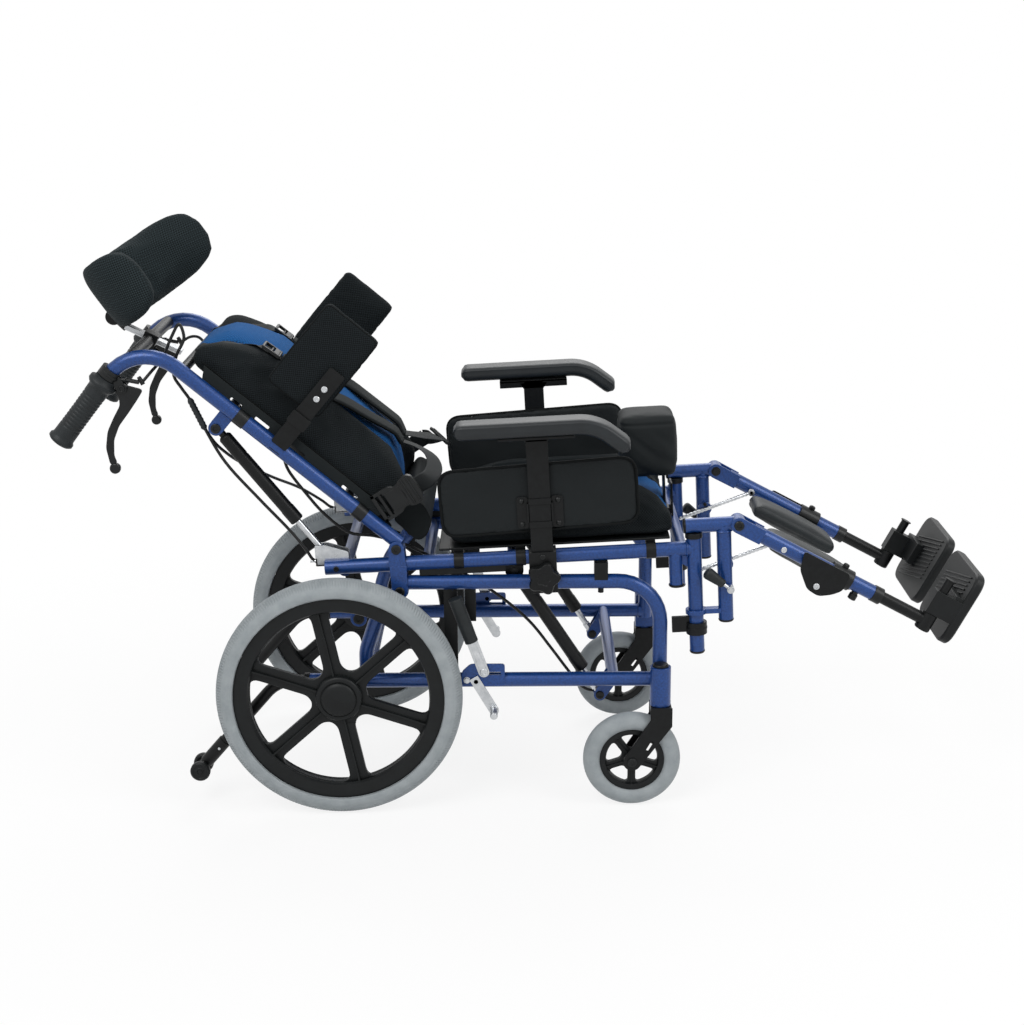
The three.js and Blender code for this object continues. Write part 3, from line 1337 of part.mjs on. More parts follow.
function makeHeadrestPad() {
  const places = [];
  const index = [];
  for (let i = 0; i <= headrestRings; i += 1) {
    const share = -1 + (2 * i) / headrestRings;
    const point = headrestLine(share);
    const ahead = headrestLine(Math.min(1, share + weldTolerance));
    const behind = headrestLine(Math.max(-1, share - weldTolerance));
    const along = ahead.clone().sub(behind).normalize();
    const outward = new THREE.Vector2(along.y, -along.x);
    const tip = Math.sqrt(1 - Math.abs(share) ** headrestTipPower);
    const size = headrestTipShare + (1 - headrestTipShare) * tip;
    for (let j = 0; j < headrestRingPoints; j += 1) {
      const angle = (fullTurn * j) / headrestRingPoints;
      const across = squared(Math.cos(angle)) * (headrestThick / 2) * size;
      const up = squared(Math.sin(angle)) * (headrestHeight / 2) * size;
      places.push(point.x + outward.x * across, point.y + outward.y * across, up);
    }
  }
  const ring = headrestRingPoints;
  for (let i = 0; i < headrestRings; i += 1) {
    for (let j = 0; j < ring; j += 1) {
      const a = i * ring + j;
      const b = i * ring + ((j + 1) % ring);
      index.push(a, a + ring, b, b, a + ring, b + ring);
    }
  }
  const last = headrestRings * ring;
  for (let j = 1; j < ring - 1; j += 1) {
    index.push(0, j, j + 1, last, last + j + 1, last + j);
  }
  const geometry = new THREE.BufferGeometry();
  geometry.setAttribute('position', new THREE.Float32BufferAttribute(places, 3));
  geometry.setIndex(index);
  geometry.rotateY(headrestLean * degree);
  geometry.translate(headrestCentreX, 0, headrestCentreZ);
  return geometry;
}

function makeHeadrestBracket() {
  const length = Math.hypot(mastTopX - mastLowX, mastTopZ - mastLowZ);
  const mast = alongMast(new THREE.BoxGeometry(2 * mastHalfThick, 2 * mastHalfWidth, length), length / 2);
  const hinge = crossRod(headrestHingeX, headrestHingeZ, -headrestHingeHalf, headrestHingeHalf,
    headrestHingeRadius);
  const stalk = rod([mastTopX, 0, mastTopZ - mastHalfThick], [headrestHingeX, 0, headrestHingeZ],
    headrestStalkRadius);
  return join(mast, stalk, hinge);
}

// Push grips and hand levers
const gripRadius = 19;
const gripStartX = -84;
const gripEndX = -206;
const gripFlange = 3;
const handLeverTipX = -184;
const handLeverTipDrop = 69;
const handLeverTipZ = handLeverPivotZ - handLeverTipDrop;
const handLeverOutline = [[-66, -2], [-75, 6], [-82, 5], [-88, -7], [-97, -15], [-119, -19], [-143, -25],
  [-166, -39], [-183, -60], [-176, -66], [-170, -55], [-149, -39], [-125, -31.4], [-97, -30.2], [-73, -28.3],
  [-55, -26]].map(([x, z]) => [x, handLeverPivotZ + z]);
const handLeverThick = 5;
const handLeverBallRadius = 8;
const handLeverBossRadius = 7;

function makePushGrip() {
  const at = (x) => [x, sideOffset, caneTop + handleSlope * (x - caneX)];
  const sleeve = rod(at(gripStartX), at(gripEndX), gripRadius);
  const flange = rod(at(gripStartX), at(gripStartX - 2 * gripFlange), gripRadius + gripFlange);
  const bore = rod(at(gripStartX + overrun), at(handleEndX - gap), tubeRadius + gap, boreSides);
  return cut(join(sleeve, flange), bore);
}

function makeHandLever() {
  const y = sideOffset;
  const blade = sidePlate(handLeverOutline, y - handLeverThick / 2, y + handLeverThick / 2);
  const ball = crossRod(handLeverTipX, handLeverTipZ, y - handLeverThick, y + handLeverThick,
    handLeverBallRadius);
  const boss = crossRod(handLeverPivotX, handLeverPivotZ, y - handLeverHalf, y + handLeverHalf,
    handLeverBossRadius, pinSides);
  const bore = crossRod(handLeverPivotX, handLeverPivotZ, y - 2 * handLeverHalf, y + 2 * handLeverHalf,
    handLeverPinRadius + gap, eyeSides);
  return cut(join(blade, ball, boss), bore);
}

add(back, 'back_cushion', makeBackCushion(), darkMesh());
addPair(back, 'lateral_pad', makeLateralPad(), darkMesh());
add(back, 'headrest_pad', makeHeadrestPad(), darkMesh());
add(back, 'headrest_bracket', makeHeadrestBracket(), blackSteel());
addPair(back, 'push_grip', makePushGrip(), blackPlastic());
addPair(back, 'hand_lever', makeHandLever(), blackPlastic());

// Release cables, along routes in the back's own frame
const cableRadius = 2.5;
const cableSeat = 3.4;
const cableSides = 6;
const bootRadius = 5;
const bootSteps = 1;
const reclineCableSteps = 26;
const branchCableSteps = 14;
const tiltCableSteps = 30;
const reclineCableRoute = [
  [-46, -180, adjusterZ - cableSeat], [-26, -170, 477], [0, -158, 476.5], [36, -156, 486], [60, -156, 489], [48, -157, 470],
  [18, -158, 462], [-10, -159, 446], [-18, -160, 425], [-25, -160, 402], [-46, -164, 356], [-68.5, -165, 298],
  [-82.7, -165, 216.3], [-92.7, -165, 147.2], [-102, -165, 106], [-107, -165, 91], [-106.6, -165, 85.5],
];
const bootRoute = [[-25, -160, 402], [-46, -164, 356]];
const branchCableRoute = [
  [-46, -163, 356], [-57, -153, 331], [-66, -128, 303], [-73, -95, 276], [-86, 0, 215], [-94, 85, 160],
  [-104, 145, 110], [-108.5, 163, 93], [-106.6, 165, 85.5],
];
const tiltCableRoute = [
  [-46, 180, adjusterZ - cableSeat], [-26, 172, 471], [-13, 158, 459], [-10, 135, 440], [-10, 60, 400], [-11, -40, 340],
  [-11, -105, 285], [-12, -128, 232], [-24, -130, 210], [-36, -130, 166], [-45, -130, 117], [-43, -130, 67],
  [-22, -130, 33], [-3, -130, -9], [8, -130, -52], [20, -130, -107], [29, -130, -189], [27, -130, -256],
  [15, -134, -313], [4.8, -142, -358.7], [-1, -146, -390], [1, -146.2, -404], [5.9, -146.2, -412.6],
];

function makeCord(points, radius, steps) {
  const curve = new THREE.CatmullRomCurve3(points.map((point) => new THREE.Vector3(...point)), false,
    'centripetal');
  return new THREE.ExtrudeGeometry(circleShape(radius, cableSides), { steps, extrudePath: curve });
}

function makeReclineCable() {
  const main = makeCord(reclineCableRoute, cableRadius, reclineCableSteps);
  const branch = makeCord(branchCableRoute, cableRadius, branchCableSteps);
  const boot = makeCord(bootRoute, bootRadius, bootSteps);
  return join(main, branch, boot);
}

add(back, 'recline_cable', makeReclineCable(), blackPlastic());
add(back, 'tilt_cable', makeCord(tiltCableRoute, cableRadius, tiltCableSteps), blackPlastic());

// Locking struts: a cylinder that slides on a rod
const cylinderRadius = 11;
const strutRodRadius = 5;
const strutEyeRadius = 8;
const strutNeckRadius = 6;
const strutNeckLength = 18;
const reclineCylinderLength = 195;
const reclineRodOverlap = 120;
const tiltCylinderLength = 205;
const tiltRodOverlap = 120;
const reclineEyeHalf = 6;

// A strut between two pivots at one distance from the middle plane: the cylinder hangs from the head.
function strutPieces(head, foot, offset, cylinderLength, rodOverlap, headHalf, footHalf) {
  const way = new THREE.Vector2(foot[0] - head[0], foot[1] - head[1]);
  const length = way.length();
  way.normalize();
  const at = (distance) => [head[0] + way.x * distance, offset, head[1] + way.y * distance];
  const eye = (pivot, half) => crossRod(pivot[0], pivot[1], offset - half, offset + half, strutEyeRadius);
  const neck = rod(at(strutEyeRadius / 2), at(strutNeckLength + overrun), strutNeckRadius);
  const barrel = rod(at(strutNeckLength), at(cylinderLength), cylinderRadius);
  const bore = rod(at(cylinderLength - rodOverlap), at(cylinderLength + overrun), strutRodRadius + gap,
    eyeSides);
  const bar = rod(at(cylinderLength - rodOverlap + gap), at(length - strutEyeRadius / 2), strutRodRadius,
    pinSides);
  return {
    cylinder: cut(join(barrel, neck, eye(head, headHalf)), bore),
    rod: join(bar, eye(foot, footHalf)),
  };
}

function makeReclineStrut() {
  const backTurn = (backAngle - 90) * degree;
  const footX = reclineFootX - reclinePivotX;
  const footZ = reclineFootZ - reclinePivotZ;
  const foot = [footX * Math.cos(backTurn) - footZ * Math.sin(backTurn),
    footX * Math.sin(backTurn) + footZ * Math.cos(backTurn)];
  const pieces = strutPieces([reclineHeadX, reclineHeadZ], foot, reclineStrutOffset, reclineCylinderLength,
    reclineRodOverlap, strutHeadHalf, reclineEyeHalf);
  const bore = crossRod(reclineHeadX, reclineHeadZ, reclineStrutOffset - 2 * strutHeadHalf, reclineStrutOffset
    + 2 * strutHeadHalf, pinRadius + gap, eyeSides);
  return { cylinder: cut(pieces.cylinder, bore), rod: pieces.rod };
}

function makeTiltStrut() {
  const turn = seatPitch * degree;
  const head = [tiltPivotX + strutCrossX * Math.cos(turn) - strutHeadZ * Math.sin(turn),
    tiltPivotHeight + strutCrossX * Math.sin(turn) + strutHeadZ * Math.cos(turn)];
  const foot = [tiltStrutFootX, tiltStrutFootHeight];
  const pieces = strutPieces(head, foot, tiltStrutOffset, tiltCylinderLength, tiltRodOverlap, strutHeadHalf,
    strutHeadHalf);
  const bore = crossRod(foot[0], foot[1], tiltStrutOffset - 2 * strutHeadHalf, tiltStrutOffset
    + 2 * strutHeadHalf, pinRadius + gap, eyeSides);
  return { cylinder: pieces.cylinder, rod: cut(pieces.rod, bore) };
}

const reclineStrut = makeReclineStrut();
const tiltStrut = makeTiltStrut();
addPair(back, 'recline_strut_cylinder', reclineStrut.cylinder, greyTube());
addPair(back, 'recline_strut_rod', reclineStrut.rod, bareSteel());
addPair(base, 'tilt_strut_cylinder', tiltStrut.cylinder, greyTube());
addPair(base, 'tilt_strut_rod', tiltStrut.rod, bareSteel());

export default chair;
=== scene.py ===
import math

import bmesh
import bpy
from mathutils import Matrix, Vector, noise
from mathutils.bvhtree import BVHTree


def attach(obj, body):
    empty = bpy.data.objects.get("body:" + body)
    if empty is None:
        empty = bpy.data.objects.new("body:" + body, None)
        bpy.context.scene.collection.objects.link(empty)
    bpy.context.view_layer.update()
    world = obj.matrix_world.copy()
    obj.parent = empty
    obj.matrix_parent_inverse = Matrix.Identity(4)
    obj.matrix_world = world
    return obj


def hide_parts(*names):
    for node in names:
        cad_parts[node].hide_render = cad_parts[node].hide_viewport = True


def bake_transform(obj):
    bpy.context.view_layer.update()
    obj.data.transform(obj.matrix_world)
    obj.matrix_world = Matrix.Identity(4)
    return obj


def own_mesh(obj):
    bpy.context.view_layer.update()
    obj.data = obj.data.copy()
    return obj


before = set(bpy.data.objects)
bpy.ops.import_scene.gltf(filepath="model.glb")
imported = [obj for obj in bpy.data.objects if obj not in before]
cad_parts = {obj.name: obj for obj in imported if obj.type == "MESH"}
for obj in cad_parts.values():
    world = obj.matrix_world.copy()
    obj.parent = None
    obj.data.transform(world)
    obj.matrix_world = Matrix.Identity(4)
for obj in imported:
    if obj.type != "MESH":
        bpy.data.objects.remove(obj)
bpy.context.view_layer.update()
print("frame loaded:", len(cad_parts), "nodes")

# The chair's own frames, in millimetres: x forward from the rear axle, y to the user's left, z up.
mm = 0.001
chair = {
    "axleToOrigin": 299.258,
    "tiltPivot": (100, 0, 367),
    "seatPitch": 2.8,
    "reclinePivot": (-1, 0, 71),
    "backAngle": 42.8,
    "legHinge": (549.5, 0, 80),
    "legDrop": 31,
    "side": 180,
    "tube": 12,
}


def turnY(degrees):
    return Matrix.Rotation(math.radians(degrees), 4, "Y")


baseFrame = Matrix.Scale(mm, 4) @ Matrix.Translation((-chair["axleToOrigin"], 0, 0))
seatFrame = baseFrame @ Matrix.Translation(chair["tiltPivot"]) @ turnY(-chair["seatPitch"])
backFrame = seatFrame @ Matrix.Translation(chair["reclinePivot"]) @ turnY(chair["backAngle"] - 90)
legFrame = seatFrame @ Matrix.Translation(chair["legHinge"]) @ turnY(chair["legDrop"])
side = chair["side"]
tubeRadius = chair["tube"]
sides = (("left", 1), ("right", -1))


# Shapes: each is a list of points and a list of faces, in the frame's own millimetres

def bendPath(points, bend, steps=9):
    corners = [Vector(point) for point in points]
    path = [corners[0]]
    for before, corner, after in zip(corners, corners[1:], corners[2:]):
        into = (corner - before).normalized()
        out = (after - corner).normalized()
        half = into.angle(out) / 2
        start = corner - into * bend * math.tan(half)
        centre = corner + (out - into).normalized() * bend / math.cos(half)
        spoke = start - centre
        for step in range(steps + 1):
            angle = 2 * half * step / steps
            path.append(centre + spoke * math.cos(angle) + into * bend * math.sin(angle))
    path.append(corners[-1])
    return path


def smoothPath(points, steps=6):
    # a centripetal curve through every point
    knots = [Vector(point) for point in points]
    knots = [2 * knots[0] - knots[1], *knots, 2 * knots[-1] - knots[-2]]
    path = []
    for p0, p1, p2, p3 in zip(knots, knots[1:], knots[2:], knots[3:]):
        t0 = 0.0
        t1 = t0 + math.sqrt((p1 - p0).length)
        t2 = t1 + math.sqrt((p2 - p1).length)
        t3 = t2 + math.sqrt((p3 - p2).length)
        for step in range(steps):
            t = t1 + (t2 - t1) * step / steps
            a1 = p0 * ((t1 - t) / (t1 - t0)) + p1 * ((t - t0) / (t1 - t0))
            a2 = p1 * ((t2 - t) / (t2 - t1)) + p2 * ((t - t1) / (t2 - t1))
            a3 = p2 * ((t3 - t) / (t3 - t2)) + p3 * ((t - t2) / (t3 - t2))
            b1 = a1 * ((t2 - t) / (t2 - t0)) + a2 * ((t - t0) / (t2 - t0))
            b2 = a2 * ((t3 - t) / (t3 - t1)) + a3 * ((t - t1) / (t3 - t1))
            path.append(b1 * ((t2 - t) / (t2 - t1)) + b2 * ((t - t1) / (t2 - t1)))
    path.append(knots[-2])
    return path


def skin(rings, closed=False):
    # rings of equal count joined into a closed body, with a cap on each end
    count = len(rings[0])
    points = [point for ring in rings for point in ring]
    faces = []
    last = len(rings) if closed else len(rings) - 1
    for i in range(last):
        a, b = i * count, ((i + 1) % len(rings)) * count
        faces += [(a + j, a + (j + 1) % count, b + (j + 1) % count, b + j) for j in range(count)]
    if not closed:
        faces += [tuple(range(count)), tuple(range((len(rings) - 1) * count, len(rings) * count))]
    return points, faces


def sweep(path, section, twist=None):
    # section(share) gives the outline's (across, up) pairs, which follow the path without twisting
    rings = []
    tangent = (path[1] - path[0]).normalized()
    across = tangent.orthogonal().normalized() if twist is None else Vector(twist).normalized()
    for i, place in enumerate(path):
        after = path[min(i + 1, len(path) - 1)]
        before = path[max(i - 1, 0)]
        way = (after - before).normalized()
        across = (across - way * across.dot(way)).normalized()
        up = way.cross(across)
        outline = section(i / (len(path) - 1))
        rings.append([place + across * u + up * v for u, v in outline])
    return skin(rings)


def circle(radius, count):
    angles = [2 * math.pi * i / count for i in range(count)]
    return [(radius * math.cos(angle), radius * math.sin(angle)) for angle in angles]


def tube(points, radius, bend=0, count=28):
    path = bendPath(points, bend) if bend else [Vector(point) for point in points]
    return sweep(path, lambda share: circle(radius, count))


def cord(points, radius, count=10, steps=6):
    return sweep(smoothPath(points, steps), lambda share: circle(radius, count))


def rod(start, end, radius, count=28):
    return tube([start, end], radius, 0, count)


def crossRod(x, z, near, far, radius, count=28):
    return rod((x, near, z), (x, far, z), radius, count)


def block(low, high):
    points = [Vector((x, y, z)) for x in (low[0], high[0]) for y in (low[1], high[1])
              for z in (low[2], high[2])]
    return points, [(0, 1, 3, 2), (4, 6, 7, 5), (0, 4, 5, 1), (2, 3, 7, 6), (0, 2, 6, 4), (1, 5, 7, 3)]


def plate(outline, near, far):
    return skin([[Vector((x, near, z)) for x, z in outline], [Vector((x, far, z)) for x, z in outline]])


def lathe(profile, centre, segments, wobble=None):
    # a closed profile of (radius, along) pairs turned about y
    rings = []
    for i in range(segments):
        angle = 2 * math.pi * i / segments
        ring = []
        for radius, along in profile:
            reach = radius + (wobble(angle, radius, along) if wobble else 0)
            ring.append(Vector(centre) + Vector((reach * math.cos(angle), along, reach * math.sin(angle))))
        rings.append(ring)
    return skin(rings, closed=True)


def knob(profile, centre, axis, segments=32):
    # a body of turning whose profile starts and ends on its axis
    way = Vector(axis).normalized()
    across = way.orthogonal().normalized()
    up = way.cross(across)
    rings = []
    for radius, along in profile:
        rings.append([Vector(centre) + way * along + (across * u + up * v)
                      for u, v in circle(max(radius, 0.01), segments)])
    return skin(rings)


def lug(pivotX, pivotZ, radius, rootX, rootZ, rootHalf, steps=14):
    toRoot = math.atan2(rootZ - pivotZ, rootX - pivotX)
    outline = []
    for i in range(steps + 1):
        angle = toRoot + math.pi / 2 + math.pi * i / steps
        outline.append((pivotX + radius * math.cos(angle), pivotZ + radius * math.sin(angle)))
    acrossX, acrossZ = -math.sin(toRoot) * rootHalf, math.cos(toRoot) * rootHalf
    return outline + [(rootX - acrossX, rootZ - acrossZ), (rootX + acrossX, rootZ + acrossZ)]


def cheeks(outline, offset, half, thick):
    return [plate(outline, offset + half, offset + half + thick),
            plate(outline, offset - half - thick, offset - half)]


def hexHead(x, z, near, far, radius):
    # a bolt head with its washer
    washer = near + (far - near) * 0.25
    return [crossRod(x, z, near, washer, radius * 1.25, 24), crossRod(x, z, washer, far, radius, 6)]


def socketHead(x, z, face, out, radius):
    # a round head with a hexagon socket sunk in it
    ring = [(0, 0), (radius, 0), (radius, 0.72), (radius * 0.86, 1), (radius * 0.5, 1), (radius * 0.5, 0.35),
            (0, 0.35)]
    height = abs(out - face)
    return [knob([(r, h * height) for r, h in ring], (x, face, z), (0, 1 if out > face else -1, 0), 24)]


def oblong(left, low, right, high):
    return [(left, low), (right, low), (right, high), (left, high)]


def build(name, shapes, frameMatrix, sign=1, both=False):
    mesh = bpy.data.meshes.new(name)
    points, faces = [], []
    for flip in ((1, -1) if both else (sign,)):
        for shapePoints, shapeFaces in shapes:
            first = len(points)
            points += [frameMatrix @ Vector((p[0], p[1] * flip, p[2])) for p in shapePoints]
            faces += [[first + i for i in face] for face in shapeFaces]
    mesh.from_pydata(points, [], faces)
    work = bmesh.new()
    work.from_mesh(mesh)
    bmesh.ops.recalc_face_normals(work, faces=work.faces)
    work.to_mesh(mesh)
    work.free()
    piece = bpy.data.objects.new(name, mesh)
    bpy.context.scene.collection.objects.link(piece)
    return piece


def applyModifiers(piece):
    bpy.context.view_layer.update()
    made = bpy.data.meshes.new_from_object(piece.evaluated_get(bpy.context.evaluated_depsgraph_get()))
    piece.modifiers.clear()
    old = piece.data
    piece.data = made
    bpy.data.meshes.remove(old)
    return piece


def soften(piece, width, angle=34, segments=2):
    # small rounded edges, and normals that keep flat faces flat
    if width:
        bevel = piece.modifiers.new("edges", "BEVEL")
        bevel.width = width * mm
        bevel.segments = segments
        bevel.limit_method = "ANGLE"
        bevel.angle_limit = math.radians(angle)
    for polygon in piece.data.polygons:
        polygon.use_smooth = True
    normals = piece.modifiers.new("normals", "WEIGHTED_NORMAL")
    normals.keep_sharp = True
    return applyModifiers(piece)


def dress(piece, body, material, nodes=()):
    piece.data.materials.clear()
    piece.data.materials.append(material)
    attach(piece, body)
    if nodes:
        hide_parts(*nodes)
    return piece


def make(name, body, shapes, where, material, nodes=(), sign=1, both=False, edge=0.5):
    return dress(soften(build(name, shapes, where, sign, both), edge), body, material, nodes)


def makePair(name, body, shapes, where, material, node="", edge=0.5):
    # a left and a right piece; {} in a body's or a node's name stands for the side
    for label, sign in sides:
        nodes = [node.format(label)] if node else ()
        make(f"{name}.{label}", body.format(label), shapes, where, material, nodes, sign, edge=edge)


# Finishes

def linear(hexColour):
    channels = [int(hexColour[i:i + 2], 16) / 255 for i in (1, 3, 5)]
    return (*[c / 12.92 if c <= 0.04045 else ((c + 0.055) / 1.055) ** 2.4 for c in channels], 1)


def addNode(tree, kind, settings, links=()):
    node = tree.nodes.new("ShaderNode" + kind)
    for key, value in settings.items():
        if isinstance(key, int) or key in node.inputs:
            node.inputs[key].default_value = value
        else:
            setattr(node, key, value)
    for key, source in links:
        tree.links.new(source, node.inputs[key])
    return node


def newFinish(name, colour, settings):
    material = bpy.data.materials.new(name)
    material.use_nodes = True
    shader = material.node_tree.nodes["Principled BSDF"]
    shader.inputs["Base Color"].default_value = linear(colour)
    for key, value in settings.items():
        shader.inputs[key].default_value = value
    return material, material.node_tree, shader


def addMottle(tree, shader, low, high, sizeMm):
    # two near colours that drift into each other over patches of the given size
    place = addNode(tree, "TexCoord", {})
    cloud = addNode(tree, "TexNoise", {"Scale": 1000 / sizeMm, "Detail": 4, "Roughness": 0.6},
                    [("Vector", place.outputs["Object"])])
    ramp = addNode(tree, "ValToRGB", {}, [("Fac", cloud.outputs["Fac"])])
    ramp.color_ramp.elements[0].position = 0.32
    ramp.color_ramp.elements[0].color = linear(low)
    ramp.color_ramp.elements[1].position = 0.68
    ramp.color_ramp.elements[1].color = linear(high)
    tree.links.new(ramp.outputs["Color"], shader.inputs["Base Color"])


def addRoughness(tree, shader, low, high, sizeMm):
    place = addNode(tree, "TexCoord", {})
    cloud = addNode(tree, "TexNoise", {"Scale": 1000 / sizeMm, "Detail": 5},
                    [("Vector", place.outputs["Object"])])
    span = addNode(tree, "MapRange", {"To Min": low, "To Max": high}, [("Value", cloud.outputs["Fac"])])
    tree.links.new(span.outputs["Result"], shader.inputs["Roughness"])


def addGrain(tree, shader, sizeMm, depthMm, strength, cells=False):
    place = addNode(tree, "TexCoord", {})
    if cells:
        grain = addNode(tree, "TexVoronoi", {"feature": "DISTANCE_TO_EDGE", "Scale": 1000 / sizeMm},
                        [("Vector", place.outputs["Object"])])
        height = grain.outputs["Distance"]
    else:
        grain = addNode(tree, "TexNoise", {"Scale": 1000 / sizeMm, "Detail": 3},
                        [("Vector", place.outputs["Object"])])
        height = grain.outputs["Fac"]
    bump = addNode(tree, "Bump", {"Strength": strength, "Distance": depthMm * mm}, [("Height", height)])
    tree.links.new(bump.outputs["Normal"], shader.inputs["Normal"])


def addWeave(tree, shader, spacingMm, depthMm, strength, dark, light, turn=0.0):
    # Rows of raised stitches on all three planes, mixed by the square of the surface's own normal.
    # turn lines the rows up with a tilted cushion, in degrees about y.
    place = addNode(tree, "TexCoord", {})
    turned = (0, math.radians(turn), 0)
    wave = 2 * math.pi / (spacingMm * mm)
    spot = addNode(tree, "Mapping", {"vector_type": "POINT", "Rotation": turned, "Scale": (wave, wave, wave)},
                   [("Vector", place.outputs["Object"])])
    sine = addNode(tree, "VectorMath", {"operation": "SINE"}, [(0, spot.outputs["Vector"])])
    parts = addNode(tree, "SeparateXYZ", {}, [("Vector", sine.outputs["Vector"])])
    x, y, z = (parts.outputs[key] for key in "XYZ")
    first = addNode(tree, "CombineXYZ", {}, [("X", y), ("Y", z), ("Z", x)])
    second = addNode(tree, "CombineXYZ", {}, [("X", z), ("Y", x), ("Z", y)])
    planes = addNode(tree, "VectorMath", {"operation": "MULTIPLY"},
                     [(0, first.outputs["Vector"]), (1, second.outputs["Vector"])])
    facing = addNode(tree, "Mapping", {"vector_type": "VECTOR", "Rotation": turned},
                     [("Vector", place.outputs["Normal"])])
    weight = addNode(tree, "VectorMath", {"operation": "MULTIPLY"},
                     [(0, facing.outputs["Vector"]), (1, facing.outputs["Vector"])])
    pattern = addNode(tree, "VectorMath", {"operation": "DOT_PRODUCT"},
                      [(0, planes.outputs["Vector"]), (1, weight.outputs["Vector"])])
    height = addNode(tree, "MapRange", {"From Min": -0.75, "From Max": 0.75},
                     [("Value", pattern.outputs["Value"])])
    colour = addNode(tree, "Mix", {"data_type": "RGBA", 6: linear(dark), 7: linear(light)},
                     [(0, height.outputs["Result"])])
    tree.links.new(colour.outputs[2], shader.inputs["Base Color"])
    bump = addNode(tree, "Bump", {"Strength": strength, "Distance": depthMm * mm},
                   [("Height", height.outputs["Result"])])
    tree.links.new(bump.outputs["Normal"], shader.inputs["Normal"])
    return colour


def mottled(name, colour, settings, mottle, grain=None, cells=False):
    # a smooth or moulded finish: mottle is (low, high, size), grain is (size, depth, strength), in mm
    material, tree, shader = newFinish(name, colour, settings)
    addMottle(tree, shader, *mottle)
    if grain:
        addGrain(tree, shader, *grain, cells)
    return material


def woven(name, colour, settings, weave, turn=0.0):
    # a cloth: weave is (spacing in mm, depth in mm, strength, dark, light)
    material, tree, shader = newFinish(name, colour, settings)
    addWeave(tree, shader, *weave, turn)
    return material


def makeZincPlate():
    # zinc plated steel: pale, slightly cloudy reflections
    material, tree, shader = newFinish("zincPlate", "#c3c6c8",
                                       {"Metallic": 1.0, "Roughness": 0.28})
    addMottle(tree, shader, "#b3b6b9", "#d0d2d4", 14)
    addRoughness(tree, shader, 0.2, 0.4, 6)
    return material


def makeStripedMesh(name, turn, halfMm):
    # the spacer mesh with a blue strip down its middle, between the two seams
    material, tree, shader = newFinish(name, "#1c5186", clothGloss)
    black = addWeave(tree, shader, *meshWeave, turn)
    place = addNode(tree, "TexCoord", {})
    parts = addNode(tree, "SeparateXYZ", {}, [("Vector", place.outputs["Object"])])
    away = addNode(tree, "Math", {"operation": "ABSOLUTE"}, [(0, parts.outputs["Y"])])
    inside = addNode(tree, "Math", {"operation": "LESS_THAN", 1: halfMm * mm}, [(0, away.outputs["Value"])])
    knit = black.inputs[0].links[0].from_socket
    blue = addNode(tree, "Mix", {"data_type": "RGBA", 6: linear("#123c6b"), 7: linear("#22619f")}, [(0, knit)])
    whole = addNode(tree, "Mix", {"data_type": "RGBA"},
                    [(0, inside.outputs["Value"]), (6, black.outputs[2]), (7, blue.outputs[2])])
    tree.links.new(whole.outputs[2], shader.inputs["Base Color"])
    return material


seatTurn = chair["seatPitch"]
backTurn = seatTurn + 90 - chair["backAngle"]

# steel tube in metallic blue powder coat under clear lacquer: deep colour, long highlights, faint orange peel
blueLacquer = mottled("blueLacquer", "#0f3978",
                      {"Metallic": 0.3, "Roughness": 0.36, "Coat Weight": 0.2, "Coat Roughness": 0.1},
                      ("#0c3168", "#134286", 3), (2.5, 0.06, 0.12))
# steel in satin black powder coat: soft highlights
blackLacquer = mottled("blackLacquer", "#0b0d0e", {"Roughness": 0.4, "IOR": 1.3},
                       ("#08090a", "#0f1112", 9), (0.9, 0.05, 0.15))
zincPlate = makeZincPlate()
# solid grey polyurethane: matt, faintly chalky
greyPolyurethane = mottled("greyPolyurethane", "#8f9698", {"Roughness": 0.62, "IOR": 1.5},
                           ("#888f92", "#979da0", 22), (1.2, 0.08, 0.2))
# glass filled nylon, moulded: dark satin with a fine spark texture
wheelNylon = mottled("wheelNylon", "#0e1112", {"Roughness": 0.46, "IOR": 1.32},
                     ("#0b0d0e", "#121516", 30), (0.8, 0.06, 0.2))
# integral skin polyurethane foam: soft grey black with a fine leather grain
skinFoam = mottled("skinFoam", "#171b1d", {"Roughness": 0.46, "IOR": 1.42},
                   ("#13171a", "#1b2023", 40), (1.6, 0.12, 0.25), cells=True)
# moulded grip rubber: matt, slightly bloomed
gripRubber = mottled("gripRubber", "#171b1d", {"Roughness": 0.52, "IOR": 1.38},
                     ("#14181a", "#1c2123", 18), (1.0, 0.08, 0.25))
# moulded acetal levers, knobs, buckles and clips: smooth, low sheen
acetal = mottled("acetal", "#0c0e0f", {"Roughness": 0.36, "IOR": 1.36},
                 ("#090b0c", "#111415", 12), (0.7, 0.04, 0.15))
# black polyester spacer mesh, hardly glossy: open stitches 3 mm apart, drawn 4.4 mm apart so that they show
clothGloss = {"Roughness": 0.86, "Specular IOR Level": 0.15}
meshWeave = (4.4, 0.7, 0.8, "#050707", "#1c2225")
meshBack = woven("meshBack", "#101314", clothGloss, meshWeave, backTurn)
# coated nylon cloth: fine plain weave with a dull sheen
nylonCloth = woven("nylonCloth", "#121617", {"Roughness": 0.66, "Specular IOR Level": 0.2},
                   (1.8, 0.15, 0.35, "#0c0f10", "#191e20"))
# polyester webbing: ribs across, 2.2 mm apart
webbing = woven("webbing", "#121516", {"Roughness": 0.7, "Specular IOR Level": 0.2},
                (2.2, 0.2, 0.5, "#0b0d0e", "#1b2022"), backTurn)
# upholstery vinyl: leather grain, soft highlights
upholsteryVinyl = mottled("upholsteryVinyl", "#161b1d", {"Roughness": 0.5, "IOR": 1.38},
                          ("#12171a", "#1a2022", 25), (2.2, 0.15, 0.3), cells=True)
